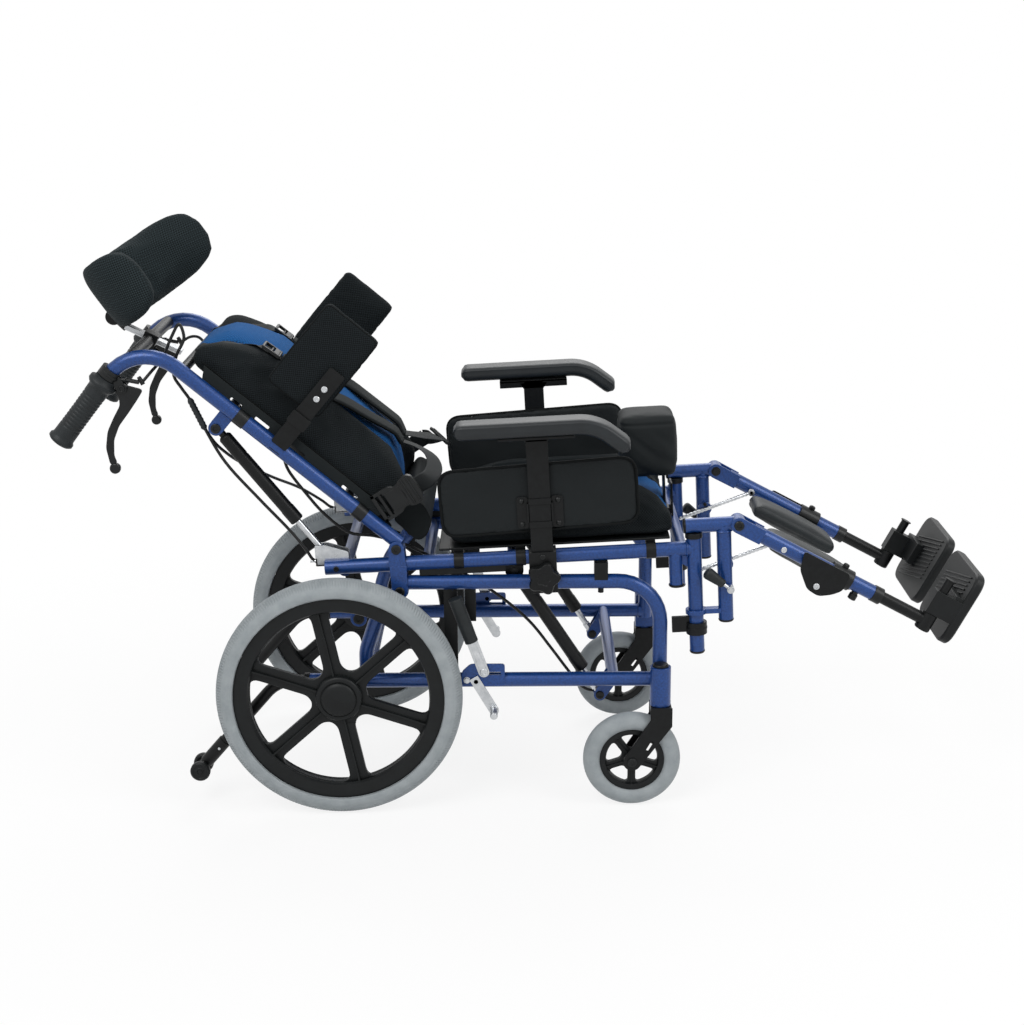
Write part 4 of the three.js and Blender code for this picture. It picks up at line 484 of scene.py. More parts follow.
# bias tape folded over a cord: matt, a fine weave
piping = woven("piping", "#0b0d0e", {"Roughness": 0.75, "Specular IOR Level": 0.12},
               (1.6, 0.1, 0.3, "#070909", "#101314"))
stripedSeat = makeStripedMesh("stripedSeat", seatTurn, 89)
stripedBack = makeStripedMesh("stripedBack", backTurn, 73.5)
# the headrest's mesh is coarser and paler than the cushions'
meshHead = woven("meshHead", "#101314", clothGloss, (5, 0.7, 0.8, "#07090a", "#2d373a"),
                 backTurn + 16)
# brushed nylon over the strap pads: soft and matt
clothStrap = woven("clothStrap", "#181c1d", {"Roughness": 0.8, "Specular IOR Level": 0.15},
                   (1.6, 0.1, 0.3, "#121516", "#1f2425"), backTurn)
# bonded polyester thread: dull and nearly black
thread = mottled("thread", "#0b0e0f", {"Roughness": 0.7, "Specular IOR Level": 0.2},
                 ("#090b0c", "#101314", 5))
# extruded cable sheath: smooth black PVC
cableSheath = mottled("cableSheath", "#0a0c0d", {"Roughness": 0.36, "IOR": 1.36},
                      ("#080a0b", "#101213", 15), (1.2, 0.04, 0.1))
print("finishes made")


# Rear wheels: a smooth polyurethane tyre with a cut shoulder, on a moulded wheel with ribbed spokes

rearTyre = {
    "radius": 200, "section": 21, "seat": 171, "offset": 227, "segments": 1040, "steps": 38,
    "notches": 260, "notchDepth": 1.9, "shoulder": (5, 17.4), "groove": 0.9,
}
rearWheel = {
    "seat": 170.7, "rimDepth": 22, "webHalf": 5, "ribHalf": 2.2, "spokes": 6, "phase": 41.6, "spokeHalf": 12.5,
    "hub": 38, "cap": 28, "bore": 8.3, "windowInner": 46, "windowOuter": 148, "windowRound": 17,
}


def tyreProfile(spec):
    middle = spec["radius"] - spec["section"]
    cut = math.acos((spec["seat"] - middle) / spec["section"])
    profile = []
    for i in range(spec["steps"] + 1):
        angle = -cut + 2 * cut * i / spec["steps"]
        radius = middle + spec["section"] * math.cos(angle)
        along = spec["section"] * math.sin(angle)
        if abs(along) < 5:
            radius = spec["radius"] - 0.05 * abs(along)
        profile.append((radius, along))
    return profile


def notchedTread(spec):
    low, high = spec["shoulder"]

    def wobble(angle, radius, along):
        across = abs(along)
        if radius < spec["radius"] - spec["section"]:
            return 0
        if low < across < high:
            shift = math.pi / spec["notches"] * (across - low) / (high - low)
            turn = ((angle + shift) * spec["notches"] / (2 * math.pi)) % 1
            return -spec["notchDepth"] if turn < 0.34 else 0
        line = 18.6 < across < 19.9
        return -spec["groove"] if line else 0

    return wobble


def cutPlate(name, outer, windows, half, edge, place):
    # a flat plate cut with windows, its edges rounded, set down at place
    curve = bpy.data.curves.new(name, "CURVE")
    curve.dimensions = "2D"
    curve.fill_mode = "BOTH"
    curve.extrude = half - edge
    curve.bevel_depth = edge
    curve.bevel_resolution = 2
    for outline in (outer, *windows):
        spline = curve.splines.new("POLY")
        spline.points.add(len(outline) - 1)
        for point, (x, z) in zip(spline.points, outline):
            point.co = (x, z, 0, 1)
        spline.use_cyclic_u = True
    flat = bpy.data.objects.new(name, curve)
    bpy.context.scene.collection.objects.link(flat)
    bpy.context.view_layer.update()
    mesh = bpy.data.meshes.new_from_object(flat.evaluated_get(bpy.context.evaluated_depsgraph_get()))
    bpy.data.objects.remove(flat)
    bpy.data.curves.remove(curve)
    work = bmesh.new()
    work.from_mesh(mesh)
    bmesh.ops.remove_doubles(work, verts=work.verts, dist=1e-3)
    points = [Vector((v.co.x, v.co.z, v.co.y)) + Vector(place) for v in work.verts]
    faces = [tuple(v.index for v in f.verts) for f in work.faces]
    work.free()
    bpy.data.meshes.remove(mesh)
    return points, faces


def turnCorner(before, corner, after, radius, steps=5):
    before, corner, after = Vector(before), Vector(corner), Vector(after)
    start = corner + (before - corner).normalized() * min(radius, (corner - before).length)
    end = corner + (after - corner).normalized() * min(radius, (corner - after).length)
    shares = [step / steps for step in range(steps + 1)]
    return [tuple(start * (1 - t) ** 2 + corner * 2 * t * (1 - t) + end * t ** 2) for t in shares]


def roundOutline(points, radius, steps=5):
    outline = []
    for i, corner in enumerate(points):
        before, after = Vector(points[i - 1]), Vector(points[(i + 1) % len(points)])
        reach = min(radius, (Vector(corner) - before).length / 2, (Vector(corner) - after).length / 2)
        outline += turnCorner(before, corner, after, reach, steps)
    return outline


def wheelWindows(spec, steps=15):
    windows = []
    turn = 2 * math.pi / spec["spokes"]
    far, near, bend = spec["windowOuter"], spec["windowInner"], spec["windowRound"]
    at = lambda radius, angle: (radius * math.cos(angle), radius * math.sin(angle))
    for spoke in range(spec["spokes"]):
        start = math.radians(spec["phase"]) + turn * spoke
        outer, inner = math.asin(spec["spokeHalf"] / far), math.asin(spec["spokeHalf"] / near)
        first, last = start + outer + bend / far, start + turn - outer - bend / far
        arc = [at(far, first + (last - first) * i / steps) for i in range(steps + 1)]
        a, b = at(far, start + turn - outer), at(near, start + turn - inner)
        c, d = at(near, start + inner), at(far, start + outer)
        hubBend = near * 0.3
        windows.append(arc + turnCorner(arc[-1], a, b, bend)[1:] + turnCorner(a, b, c, hubBend)
                       + turnCorner(b, c, d, hubBend) + turnCorner(c, d, arc[0], bend)[:-1])
    return windows


def spokeRibs(spec, centre, near, far, halfThick, reachIn, reachOut):
    # a raised rib down the middle of each spoke, deepest at the hub and the rim
    ribs = []
    for spoke in range(spec["spokes"]):
        angle = math.radians(spec["phase"]) + 2 * math.pi * spoke / spec["spokes"]
        way = Vector((math.cos(angle), 0, math.sin(angle)))
        across = Vector((-math.sin(angle), 0, math.cos(angle)))
        rings = []
        for i in range(13):
            share = i / 12
            depth = far - (far - near) * 0.62 * math.sin(math.pi * share) ** 0.8
            reach = reachIn + (reachOut - reachIn) * share
            place = Vector(centre) + way * reach
            rings.append([place + across * halfThick + Vector((0, -depth, 0)),
                          place - across * halfThick + Vector((0, -depth, 0)),
                          place - across * halfThick * 0.6 + Vector((0, depth, 0)),
                          place + across * halfThick * 0.6 + Vector((0, depth, 0))])
        ribs.append(skin(rings))
    return ribs


def makeRearWheels():
    tyre, wheel = rearTyre, rearWheel
    centre = (0, tyre["offset"], tyre["radius"])
    seat, inside = wheel["seat"], wheel["seat"] - wheel["rimDepth"]
    rim = [(inside, -15.3), (seat - 4, -15.3), (seat, -15), (seat, 15), (seat - 4, 15.3), (inside, 15.3),
           (inside - 2.5, 11), (inside + 1, 0), (inside - 2.5, -11)]
    ring, cover = wheel["hub"], wheel["cap"]
    hub = [(wheel["bore"], -20), (24, -20), (ring - 4, -17), (ring, 6), (ring, 12), (ring - 1.5, 14.5),
           (ring - 4, 16), (cover + 2, 16), (cover + 2, 14.5), (cover + 0.6, 14.5), (cover + 0.6, 15.5),
           (wheel["bore"], 15.5)]
    cap = [(0, 15), (cover, 15), (cover, 18.5), (cover - 1.6, 20.4), (cover - 5, 22), (cover - 12, 23.6),
           (0, 24.2)]
    web = cutPlate("web", circle(seat - wheel["rimDepth"] / 2, 128), wheelWindows(wheel), wheel["webHalf"], 1.4,
                   centre)
    body = "rear_wheel_{}"
    makePair("rearTyre", body, [lathe(tyreProfile(tyre), centre, tyre["segments"], notchedTread(tyre))],
             baseFrame, greyPolyurethane, "rear_tyre_{}", 0)
    makePair("rearWheel", body, [lathe(rim, centre, 128), lathe(hub, centre, 64),
                                 knob(cap, centre, (0, 1, 0), 48), web, *spokeRibs(wheel, centre, 7, 12,
                                                                                   wheel["ribHalf"], 28, 150)],
             baseFrame, wheelNylon, "rear_wheel_{}")
    makePair("rearAxle", "base", [crossRod(0, centre[2], side, centre[1] + 10, 8)], baseFrame, zincPlate)


# Casters in a plate fork under the front posts

caster = {
    "pivotX": 522, "offset": 203, "axleX": 476, "radius": 80, "section": 16, "seat": 54, "segments": 128,
    "steps": 22, "spokes": 5, "phase": 54, "spokeHalf": 5.5, "windowInner": 18, "windowOuter": 43,
    "windowRound": 8, "crownLow": 163, "crownTop": 173, "forkIn": 17.2, "forkOut": 21.2,
}


def makeCasters():
    spec = caster
    centre = (spec["axleX"], spec["offset"], spec["radius"])
    tyre = [(53, -9), *tyreProfile(spec), (53, 9)]
    rim = [(44, -9.4), (53.6, -9.4), (53.6, 9.4), (44, 9.4), (42.5, 6), (43.5, 0), (42.5, -6)]
    hub = [(5.3, -16.5), (11.5, -16.5), (13, -14), (13, 14), (11.5, 16.5), (5.3, 16.5)]
    web = cutPlate("casterWeb", circle(48, 72), wheelWindows(spec, 6), 5, 0.9, centre)
    inner, outer = spec["forkIn"], spec["forkOut"]
    top, low, high = spec["crownTop"], 506, 540
    leg = [*lug(centre[0], centre[2], 14, 523, 146, 17)[:-2], (high, 142), (high, top), (low, top), (low, 152)]
    slot = roundOutline([(497, 101), (502, 98), (512, 115), (507, 118)], 2.4)
    plates = [cutPlate("forkCheek", leg, [slot], (outer - inner) / 2, 0.8,
                       (0, centre[1] + turn * (inner + outer) / 2, 0))
              for turn in (-1, 1)]
    crown = [block((low, centre[1] - outer + 0.2, spec["crownLow"]),
                   (high, centre[1] + outer - 0.2, top - 0.2)),
             knob([(0, 0), (15, 0), (15, 3), (13, 5), (0, 5)], (spec["pivotX"], centre[1], top - 4.6),
                  (0, 0, 1))]
    near, far = centre[1] - outer, centre[1] + outer
    bolts = [crossRod(centre[0], centre[2], near - 2, far + 2, 5),
             *socketHead(centre[0], centre[2], far, far + 3, 7.6),
             *hexHead(centre[0], centre[2], near, near - 3, 6.4)]
    wheel, fork = "caster_wheel_{}", "caster_fork_{}"
    makePair("casterTyre", wheel, [lathe(tyre, centre, spec["segments"])], baseFrame, greyPolyurethane, wheel,
             0)
    makePair("casterWheel", wheel, [lathe(rim, centre, 96), lathe(hub, centre, 40), web,
                                    *spokeRibs(spec, centre, 6, 9, 1.6, 12, 45)], baseFrame, wheelNylon)
    makePair("casterFork", fork, plates + crown, baseFrame, blackLacquer, fork, 0.9)
    makePair("casterBolts", fork, bolts, baseFrame, acetal)


# Base frame

base = {
    "rail": 378, "lowerRail": 210, "postX": 522, "bend": 70, "stubX": -60, "uprightX": 42,
    "strutFoot": (425, 176),
    "crosses": ((140, 378), (42, 210), (446, 210)), "crossRadius": 10, "barrel": 17, "barrelLow": 173.3,
    "barrelTop": 239.3,
}


def weld(x, y, z, radius, about):
    # a low fillet weld where a round tube meets another: about Z for a tube along x, about X for one along z
    profile = [(radius - 1, 0), (radius + 2.6, 0), (radius + 1.4, 2.2), (radius - 1, 3)]
    ring = lathe(profile, (0, 0, 0), 28)
    turn = Matrix.Rotation(math.radians(90), 4, about)
    return [turn @ point + Vector((x, y, z)) for point in ring[0]], ring[1]


def makeBaseFrame():
    spec = base
    offset = caster["offset"]
    footX, footZ = spec["strutFoot"]
    pivotX, _, pivotZ = chair["tiltPivot"]
    axleZ = rearTyre["radius"]
    rail, low, postX, uprightX = spec["rail"], spec["lowerRail"], spec["postX"], spec["uprightX"]
    blue = [
        tube([(94, side, rail), (postX, side, rail), (postX, side, 198)], tubeRadius, spec["bend"]),
        tube([(spec["stubX"], side, low), (postX, side, low)], tubeRadius),
        tube([(pivotX, side, pivotZ), (60, side, 316), (uprightX, side, 262), (uprightX, side, low)],
             tubeRadius, 60),
        crossRod(pivotX, pivotZ, side - 12, side + 12, 14),
        crossRod(0, axleZ, side - 12, 206.7, 15),
        rod((postX, offset, spec["barrelLow"]), (postX, offset, spec["barrelTop"]), spec["barrel"], 40),
        block((postX - 16, side + 6, 176), (postX + 16, offset, 236)),
        weld(postX - tubeRadius + 1, side, low, tubeRadius, "Z"),
        weld(uprightX, side, low + 12, tubeRadius, "X"),
    ]
    crosses = [crossRod(x, z, -side, side, spec["crossRadius"]) for x, z in spec["crosses"]]
    black = [
        block((170, side - 4, 214), (192, side + 4, 372)),
        block((204, side - 12, 308), (222, side - 8, 372)),
        block((414, side - 11, 380), (436, side + 11, 411.6)),
        rod((footX, side, 370), (footX, side, 359), 5, 6),
        knob([(0, 0), (13, 0), (13, 2), (11.5, 4.6), (6, 5.4), (0, 5.6)], (postX, offset, spec["barrelTop"]),
             (0, 0, 1), 40),
        rod((spec["stubX"] - 0.6, side, low), (spec["stubX"] + 8, side, low), 13.2, 32),
    ]
    slot = oblong(238, 228.2, 262, 222.2)
    outline = roundOutline([(198, 204), (268, 204), (268, 241), (212, 241), (198, 228)], 5)
    plates = [cutPlate("brakePlate", outline, [slot], 2, 0.3, (0, side + 12, 0)),
              *cheeks(lug(footX, footZ, 10, 446, low, 12), 155, 7.3, 3)]
    zinc = [crossRod(*brake["shoe"], 190, 197.3, 4), crossRod(*brake["pivot"], 190, 200.6, 4),
            *hexHead(206, 214, side + 14, side + 18, 4.5)]
    bolts = [*socketHead(0, axleZ, side - 12, side - 15, 10),
             *socketHead(pivotX, pivotZ - 22, side + 12, side + 15.5, 6),
             crossRod(footX, footZ, 144.7, 165.3, 5), *socketHead(footX, footZ, 165.3, 168.5, 7),
             *hexHead(footX, footZ, 144.7, 141.5, 6)]
    make("baseTubes", "base", blue, baseFrame, blueLacquer, ["base_frame"], both=True, edge=0.8)
    make("baseCrosses", "base", crosses, baseFrame, blueLacquer)
    make("baseFittings", "base", black, baseFrame, blackLacquer, both=True)
    make("basePlates", "base", plates, baseFrame, blueLacquer, both=True, edge=0.3)
    make("brakePivots", "base", zinc, baseFrame, zincPlate, both=True, edge=0.3)
    make("baseBolts", "base", bolts, baseFrame, acetal, both=True, edge=0.2)


# Anti tip tubes with small wheels

antitip = {"radius": 9.5, "bendX": -105, "endX": -237, "endZ": 59, "bend": 60, "hubHalf": 12, "wheelWidth": 12}


def makeAntitips():
    spec = antitip
    path = [(-20.3, side, 210), (spec["bendX"], side, 210), (spec["endX"], side, spec["endZ"])]
    way = (Vector(path[2]) - Vector(path[1])).normalized()
    at = lambda distance: tuple(Vector(path[1]) + way * distance)
    total = (Vector(path[2]) - Vector(path[1])).length
    tubes = [tube(path, spec["radius"], spec["bend"]),
             rod(at(total - 62), at(total - 12), spec["radius"] + 1.6),
             crossRod(spec["endX"], spec["endZ"], side - 12, side + 12, 9.4)]
    buttonX, _, buttonZ = at(total - 48)
    button = crossRod(buttonX, buttonZ, side - 11.5, side + 11.5, 2.4, 12)
    axle = crossRod(spec["endX"], spec["endZ"], side - 24.4, side + 24.4, 4)
    wheel = [(4.3, -6), (14, -6), (16.5, -3.6), (16.5, 3.6), (14, 6), (11.4, 6), (10.8, 5), (7, 5), (6.4, 6),
             (4.3, 6)]
    middles = [side + s * (spec["hubHalf"] + 0.3 + spec["wheelWidth"] / 2) for s in (1, -1)]
    wheels = [lathe(wheel, (spec["endX"], y, spec["endZ"]), 48) for y in middles]
    makePair("antitipTube", "base", tubes, baseFrame, blackLacquer, "antitip_tube_{}")
    makePair("antitipPins", "base", [button], baseFrame, zincPlate, edge=0.2)
    makePair("antitipWheels", "antitip_wheel_{}", wheels + [axle], baseFrame, wheelNylon, "antitip_wheel_{}")


# Parking brakes: a bare lever with a ribbed grip, and a shoe on a bar

brake = {"pivot": (234, 230), "shoe": (221, 212), "face": 194, "length": 135, "lean": 19.5, "grip": 78,
         "drop": -60, "reach": 58}


def makeBrakes():
    spec = brake
    lean = math.radians(spec["lean"])
    inner = spec["face"] + 3.6
    middle = inner + 1.5 + 4.5
    at = lambda d: (spec["pivot"][0] - math.sin(lean) * d, middle, spec["pivot"][1] + math.cos(lean) * d)
    top = at(spec["length"] - spec["grip"] / 2)
    lever = [plate(lug(*spec["pivot"], 9, top[0], top[2], 9), inner, inner + 3),
             plate(lug(*spec["pivot"], 6, top[0], top[2], 2.2), inner + 2.8, inner + 4.6)]
    pivots = socketHead(*spec["pivot"], inner + 3, inner + 6, 6.5)
    ribs = []
    for i in range(53):
        share = i / 52
        radius = 11.6 - 1.5 * (0.5 - share) * (1 if share < 0.5 else 0)
        notch = 0.55 if i % 2 and 4 < i < 48 else 0
        ribs.append((radius - notch, spec["length"] - spec["grip"] + spec["grip"] * share))
    profile = [(0, ribs[0][1]), (8, ribs[0][1]), *ribs, (9, spec["length"] - 0.2), (0, spec["length"])]
    way = Vector(at(1)) - Vector(at(0))
    drop = math.radians(spec["drop"])
    end = (spec["shoe"][0] + spec["reach"] * math.cos(drop), spec["shoe"][1] + spec["reach"] * math.sin(drop))
    shoeIn = spec["face"] + 0.3
    root = (spec["shoe"][0] - 8 * math.cos(drop), spec["shoe"][1] - 8 * math.sin(drop))
    bar = plate(lug(*end, 8, *root, 8), shoeIn, shoeIn + 3)
    knurls = [(0, 4), (6.2, 4), *[(6.4 if i % 2 else 5.7, 5 + i) for i in range(24)], (5, 30), (0, 30)]
    knurl = knob(knurls, (end[0], shoeIn, end[1]), (0, 1, 0))
    makePair("brakeLever", "brake_lever_{}", lever + pivots, baseFrame, zincPlate, "parking_brake_lever_{}",
             0.4)
    makePair("brakeGrip", "brake_lever_{}", [knob(profile, at(0), way, 36)], baseFrame, gripRubber, edge=0)
    makePair("brakeShoe", "brake_shoe_{}", [bar, knurl], baseFrame, zincPlate, "parking_brake_shoe_{}", 0.4)


makeRearWheels()
makeCasters()
makeBaseFrame()
makeAntitips()
makeBrakes()
print("base and wheels made")


# Seat frame

seatSpec = {
    "rail": 42.5, "rearX": -119, "frontX": 477.5, "postLow": -132, "postTop": 62,
    "crosses": ((-88, 36), (186, 42.5), (457, 42.5)), "board": (66, 440, 172, 57.5, 61.5),
    "strutHead": (186, 16), "clips": (90, 190, 400), "armX": 233, "knob": (19, 27.5, 6.5, 5),
}


def starKnob(x, z, near, far, radius, depth, lobes):
    outline = []
    for i in range(60):
        angle = 2 * math.pi * i / 60
        outline.append((x + (radius - depth / 2 + depth / 2 * math.cos(lobes * angle)) * math.cos(angle),
                        z + (radius - depth / 2 + depth / 2 * math.cos(lobes * angle)) * math.sin(angle)))
    step = (far - near) / 4
    shrunk = lambda share: [(x + (px - x) * share, z + (pz - z) * share) for px, pz in outline]
    rings = [(0.86, near), (1, near + step), (1, far - step), (0.9, far), (0.45, far), (0.4, far - 1.2)]
    return [skin([[Vector((px, y, pz)) for px, pz in shrunk(share)] for share, y in rings])]


def makeSeatFrame():
    spec = seatSpec
    rail, front = spec["rail"], spec["frontX"]
    headX, headZ = spec["strutHead"]
    lugs = [*cheeks(lug(0, 0, 12.5, 0, rail, 14), side, 12.6, 3.6),
            *cheeks(lug(-1, 71, 12.5, -1, rail, 14), side, 12.6, 3.6)]
    blue = [
        tube([(spec["rearX"], side, rail), (front, side, rail)], tubeRadius),
        tube([(front, side, spec["postLow"]), (front, side, spec["postTop"])], tubeRadius),
        *lugs, block((-13, side - 15.9, rail - 7), (13, side + 15.9, rail + 7)),
        rod((447, side, -17), (447, side, rail), 11, 28),
        plate([(428, rail - 6), (front, rail - 6), (front, 4)], side - 1.8, side + 1.8),
        weld(front - 11, side, rail, tubeRadius, "Z"),
    ]
    crosses = [crossRod(x, z, -side, side, 10) for x, z in spec["crosses"]]
    rearX, frontX, halfWidth, low, top = spec["board"]
    plug = [(0, 0), (12.6, 0), (12.6, 2.2), (11, 4.4), (0, 5)]
    armX = spec["armX"]
    clips = [block((x, 164.8, rail + 1), (x + 16, 172, 59.5)) for x in spec["clips"]]
    clips += [tube([(x, side, rail), (x + 16, side, rail)], 13.4, count=32) for x in spec["clips"]]
    black = [
        *clips,
        block((33, side - 6, 21.7), (173, side + 6, rail)),
        knob(plug, (front, side, spec["postLow"] + 1.2), (0, 0, -1), 32),
        knob(plug, (447, side, -16), (0, 0, -1), 32), rod((front, side, -102), (front, side, -82), 17, 36),
        rod((front, side, -94), (front, side, -90), 17.6, 36),
        block((437.5, side - 3.6, -98.4), (front, side + 3.6, -72)),
        block((armX - 22, side, -8), (armX + 22, 219.6, 60)),
        rod((headX + 14, side + 14, rail - 3), (headX + 14, side - 14, rail - 3), 3.2, 16),
        *starKnob(armX, spec["knob"][0], 219.4, 233.4, *spec["knob"][1:3], spec["knob"][3]),
        *cheeks(lug(headX, headZ, 15, headX, rail, 15), 155, 7.6, 3),
    ]
    board = [block((rearX, -halfWidth, low), (frontX, halfWidth, top))]
    bracket = [(-134, rail + 1), (-80, rail + 1), (-80, 66), (-115, 78), (-134, 78)]
    zinc = [*cheeks(roundOutline(bracket, 3), 165, 7.6, 3), block((-134, 154.4, 44), (-131, 175.6, 57)),
            plate([(-134, 44), (-86, 44), (-86, 46.4), (-134, 46.4)], 154.4, 175.6),
            rod((-137, 165, 50), (-128, 165, 50), 3.2, 16), rod((-144, 165, 50), (-135, 165, 50), 2.0, 12)]
    pins = []
    for x, z in ((0, 0), (-1, 71)):
        pins += [crossRod(x, z, side - 16.6, side + 16.6, 5), *socketHead(x, z, side + 16.2, side + 20.2, 8),
                 *hexHead(x, z, side - 16.2, side - 20.2, 6.6)]
    pins += socketHead(-100, rail, side + 11.4, side + 14, 4.5)
    pins += [crossRod(headX, headZ, 145, 165, 5), *hexHead(headX, headZ, 165.6, 169, 6)]
    make("seatTubes", "seat", blue, seatFrame, blueLacquer, ["seat_frame"], both=True, edge=0.7)
    make("seatCrosses", "seat", crosses, seatFrame, blueLacquer)
    make("seatFittings", "seat", black, seatFrame, blackLacquer, both=True, edge=0.7)
    make("seatBoard", "seat", board, seatFrame, wheelNylon, edge=1.2)
    make("seatPlates", "seat", zinc, seatFrame, zincPlate, both=True, edge=0.3)
    make("seatPins", "seat", pins, seatFrame, acetal, both=True, edge=0.2)


# Armrests

armrest = {
    "postX": 233, "postY": 211, "half": (17.5, 4), "low": -4, "padY": 236, "padHalf": 26, "rearX": 104,
    "frontX": 388, "bendX": 338, "top": 282, "thick": 26.5, "droop": 43,
}


def finer(line, spacing):
    # the same corners with points about the given distance apart, without the last one
    fine = []
    for a, b in zip(line, line[1:]):
        steps = max(1, round((b - a).length / spacing))
        fine += [a.lerp(b, i / steps) for i in range(steps)]
    return fine


def armPadShape(spec):
    # a section swept along the pad's middle line: flat under, crowned on top, with a soft parting line
    half, thick = spec["padHalf"], spec["thick"]
    middle = spec["top"] - thick / 2
    line = bendPath([(spec["rearX"] + 1, spec["padY"], middle), (spec["bendX"] - 12, spec["padY"], middle),
                     (spec["frontX"] - 12, spec["padY"], middle - spec["droop"] + 2)], 75, 14)
    fine = finer(line, 6) + [line[-1]]
    lengths = [0]
    for a, b in zip(fine, fine[1:]):
        lengths.append(lengths[-1] + (b - a).length)

    def section(share):
        place = lengths[round(share * (len(fine) - 1))]
        ends = min(place, lengths[-1] - place)
        tight = 1 if ends > 12 else math.sqrt(max(0.0, 1 - ((12 - ends) / 12) ** 2))
        tight = 0.3 + 0.7 * tight
        outline = []
        for i in range(48):
            angle = 2 * math.pi * i / 48
            u = math.copysign(abs(math.cos(angle)) ** 0.42, math.cos(angle))
            v = math.copysign(abs(math.sin(angle)) ** 0.5, math.sin(angle))
            groove = 1 - (0.045 if abs(v - 0.3) < 0.11 else 0)
            side0 = half * (0.93 + 0.07 * math.cos(v * 1.2)) * groove
            up = (thick / 2) * (1.0 if v > 0 else 0.98)
            outline.append((u * side0 * (0.75 + 0.25 * tight), v * up * tight))
        return outline

    return sweep(fine, section, (0, 1, 0))


def makeArmrests():
    spec = armrest
    x, y = spec["postX"], spec["postY"]
    halfX, halfY = spec["half"]
    under = spec["top"] - spec["thick"] - 0.3
    post = [block((x - halfX, y - halfY, spec["low"]), (x + halfX, y + halfY, under - 2)),
            block((x - 60, y - halfY, under - 4.8), (x + 60, spec["padY"] + 13, under)),
            block((x - 60, y - halfY, under - 13), (x + 60, y - halfY + 3, under)),
            plate([(x - halfX - 9, under - 4), (x + halfX + 9, under - 4), (x + halfX, under - 16),
                   (x - halfX, under - 16)], y - halfY, y + halfY)]
    screws = []
    for dx in (-40, 40):
        screws.append(knob([(0, 0), (5.4, 0), (5.4, 1.6), (3.4, 4.2), (0, 4.8)],
                           (x + dx, spec["padY"] - 8, under - 4.8), (0, 0, -1), 24))
    for z in (30, 52):
        screws += socketHead(x, z, 219.6, 221.4, 4.6)
    body = "armrest_{}"
    makePair("armPost", body, post, seatFrame, blackLacquer, "armrest_post_{}", 1.2)
    makePair("armScrews", body, screws[:2], seatFrame, acetal, edge=0.2)
    makePair("socketScrews", "seat", screws[2:], seatFrame, acetal, edge=0.2)
    makePair("armPad", body, [armPadShape(spec)], seatFrame, skinFoam, "armrest_pad_{}", 0)


# Legrest hangers and their release levers

hanger = {"z": 80, "hingeX": 549.5, "postX": 477.5, "uprightX": 526, "low": -80, "rearX": 464,
          "ratchet": (528, 12), "lever": (532, -23, 203, 141)}


def makeHangers():
    spec = hanger
    z, x = spec["z"], spec["uprightX"]
    blue = [
        tube([(spec["rearX"], side, z), (spec["hingeX"] - 6, side, z)], tubeRadius),
        tube([(x, side, spec["low"]), (x, side, z)], tubeRadius),
        crossRod(spec["hingeX"], z, side - 12, side + 12, 13),
        rod((spec["postX"], side, -68), (spec["postX"], side, -60), 17, 36),
        block((spec["postX"] + 12.6, side - 8, -68), (x, side + 8, -60)),
        crossRod(spec["ratchet"][0], spec["ratchet"][1], 164.8, side, 12, 32),
        crossRod(spec["lever"][0], spec["lever"][1], side, 196.4, 6, 24),
        weld(x, side, z - 11, tubeRadius, "X"),
    ]
    black = [
        rod((spec["postX"], side, 60), (spec["postX"], side, 69), 14, 36),
        knob([(0, 0), (12.6, 0), (12.6, 2.2), (11, 4.4), (0, 5)], (x, side, spec["low"] + 1), (0, 0, -1), 32),
        knob([(0, 0), (12.4, 0), (12.4, 2), (11, 4), (0, 4.6)], (465, side, z), (-1, 0, 0), 32),
        crossRod(528, 21, 157.5, 166, 3, 12),
    ]
    x, z, y, angle = spec["lever"]
    way = Vector((math.cos(math.radians(angle)), 0, math.sin(math.radians(angle))))
    at = lambda d: Vector((x, y, z)) + way * d
    lever = [knob([(0, -0.5), (3, -0.5), (3, 16), (0, 16)], at(0), way, 20),
             crossRod(x, z, y - 6, y + 6, 6, 24)]
    gripShape = [knob([(0, 14), (6, 14), (7, 15.5), (7.2, 18), (10, 44), (9.4, 47.4), (7, 49.6), (0, 50)],
                      at(0), way, 32)]
    pin = [*hexHead(x, z, y + 6, y + 9, 4.4), crossRod(x, z, 196, y + 6, 3, 16)]
    body, release = "hanger_{}", "legrest_release_{}"
    makePair("hangerTubes", body, blue, seatFrame, blueLacquer, "legrest_hanger_{}", 0.7)
    makePair("hangerFittings", body, black, seatFrame, blackLacquer, edge=1.4)
    makePair("hangerPin", body, pin, seatFrame, zincPlate, edge=0.2)
    makePair("releaseStalk", release, lever, seatFrame, zincPlate, "legrest_lever_{}", 0.2)
    makePair("releaseGrip", release, gripShape, seatFrame, gripRubber, edge=0)


# Elevating legrests

legrest = {"tube": 12.5, "start": 26, "end": 265, "extension": 10, "insideX": 190, "footX": 352, "postTop": 76,
           "rod": (74, -4, 161)}


def footplateShape(slant):
    # a moulded tread: a rounded plate with slanting grip bars on the face under the foot
    outline = roundOutline(oblong(18, -22, 194, 106), 26, 8)
    shrunk = lambda share: [(106 + (y - 106) * share, 42 + (z - 42) * share) for y, z in outline]
    rings = [(0.96, 385), (1, 388), (1, 399), (0.965, 402), (0.9, 402), (0.89, 400.6)]
    shape = [skin([[Vector((x, y, z)) for y, z in shrunk(share)] for share, x in rings])]
    for i in range(11):
        middle = 6 + i * 7.4
        ends = [[Vector((x, y, z + wide)) for x, wide in ((385.6, -2), (383.2, -1.2), (383.2, 1.2), (385.6, 2))]
                for y, z in ((44, middle - slant), (168, middle + slant))]
        shape.append(skin(ends))
    return shape


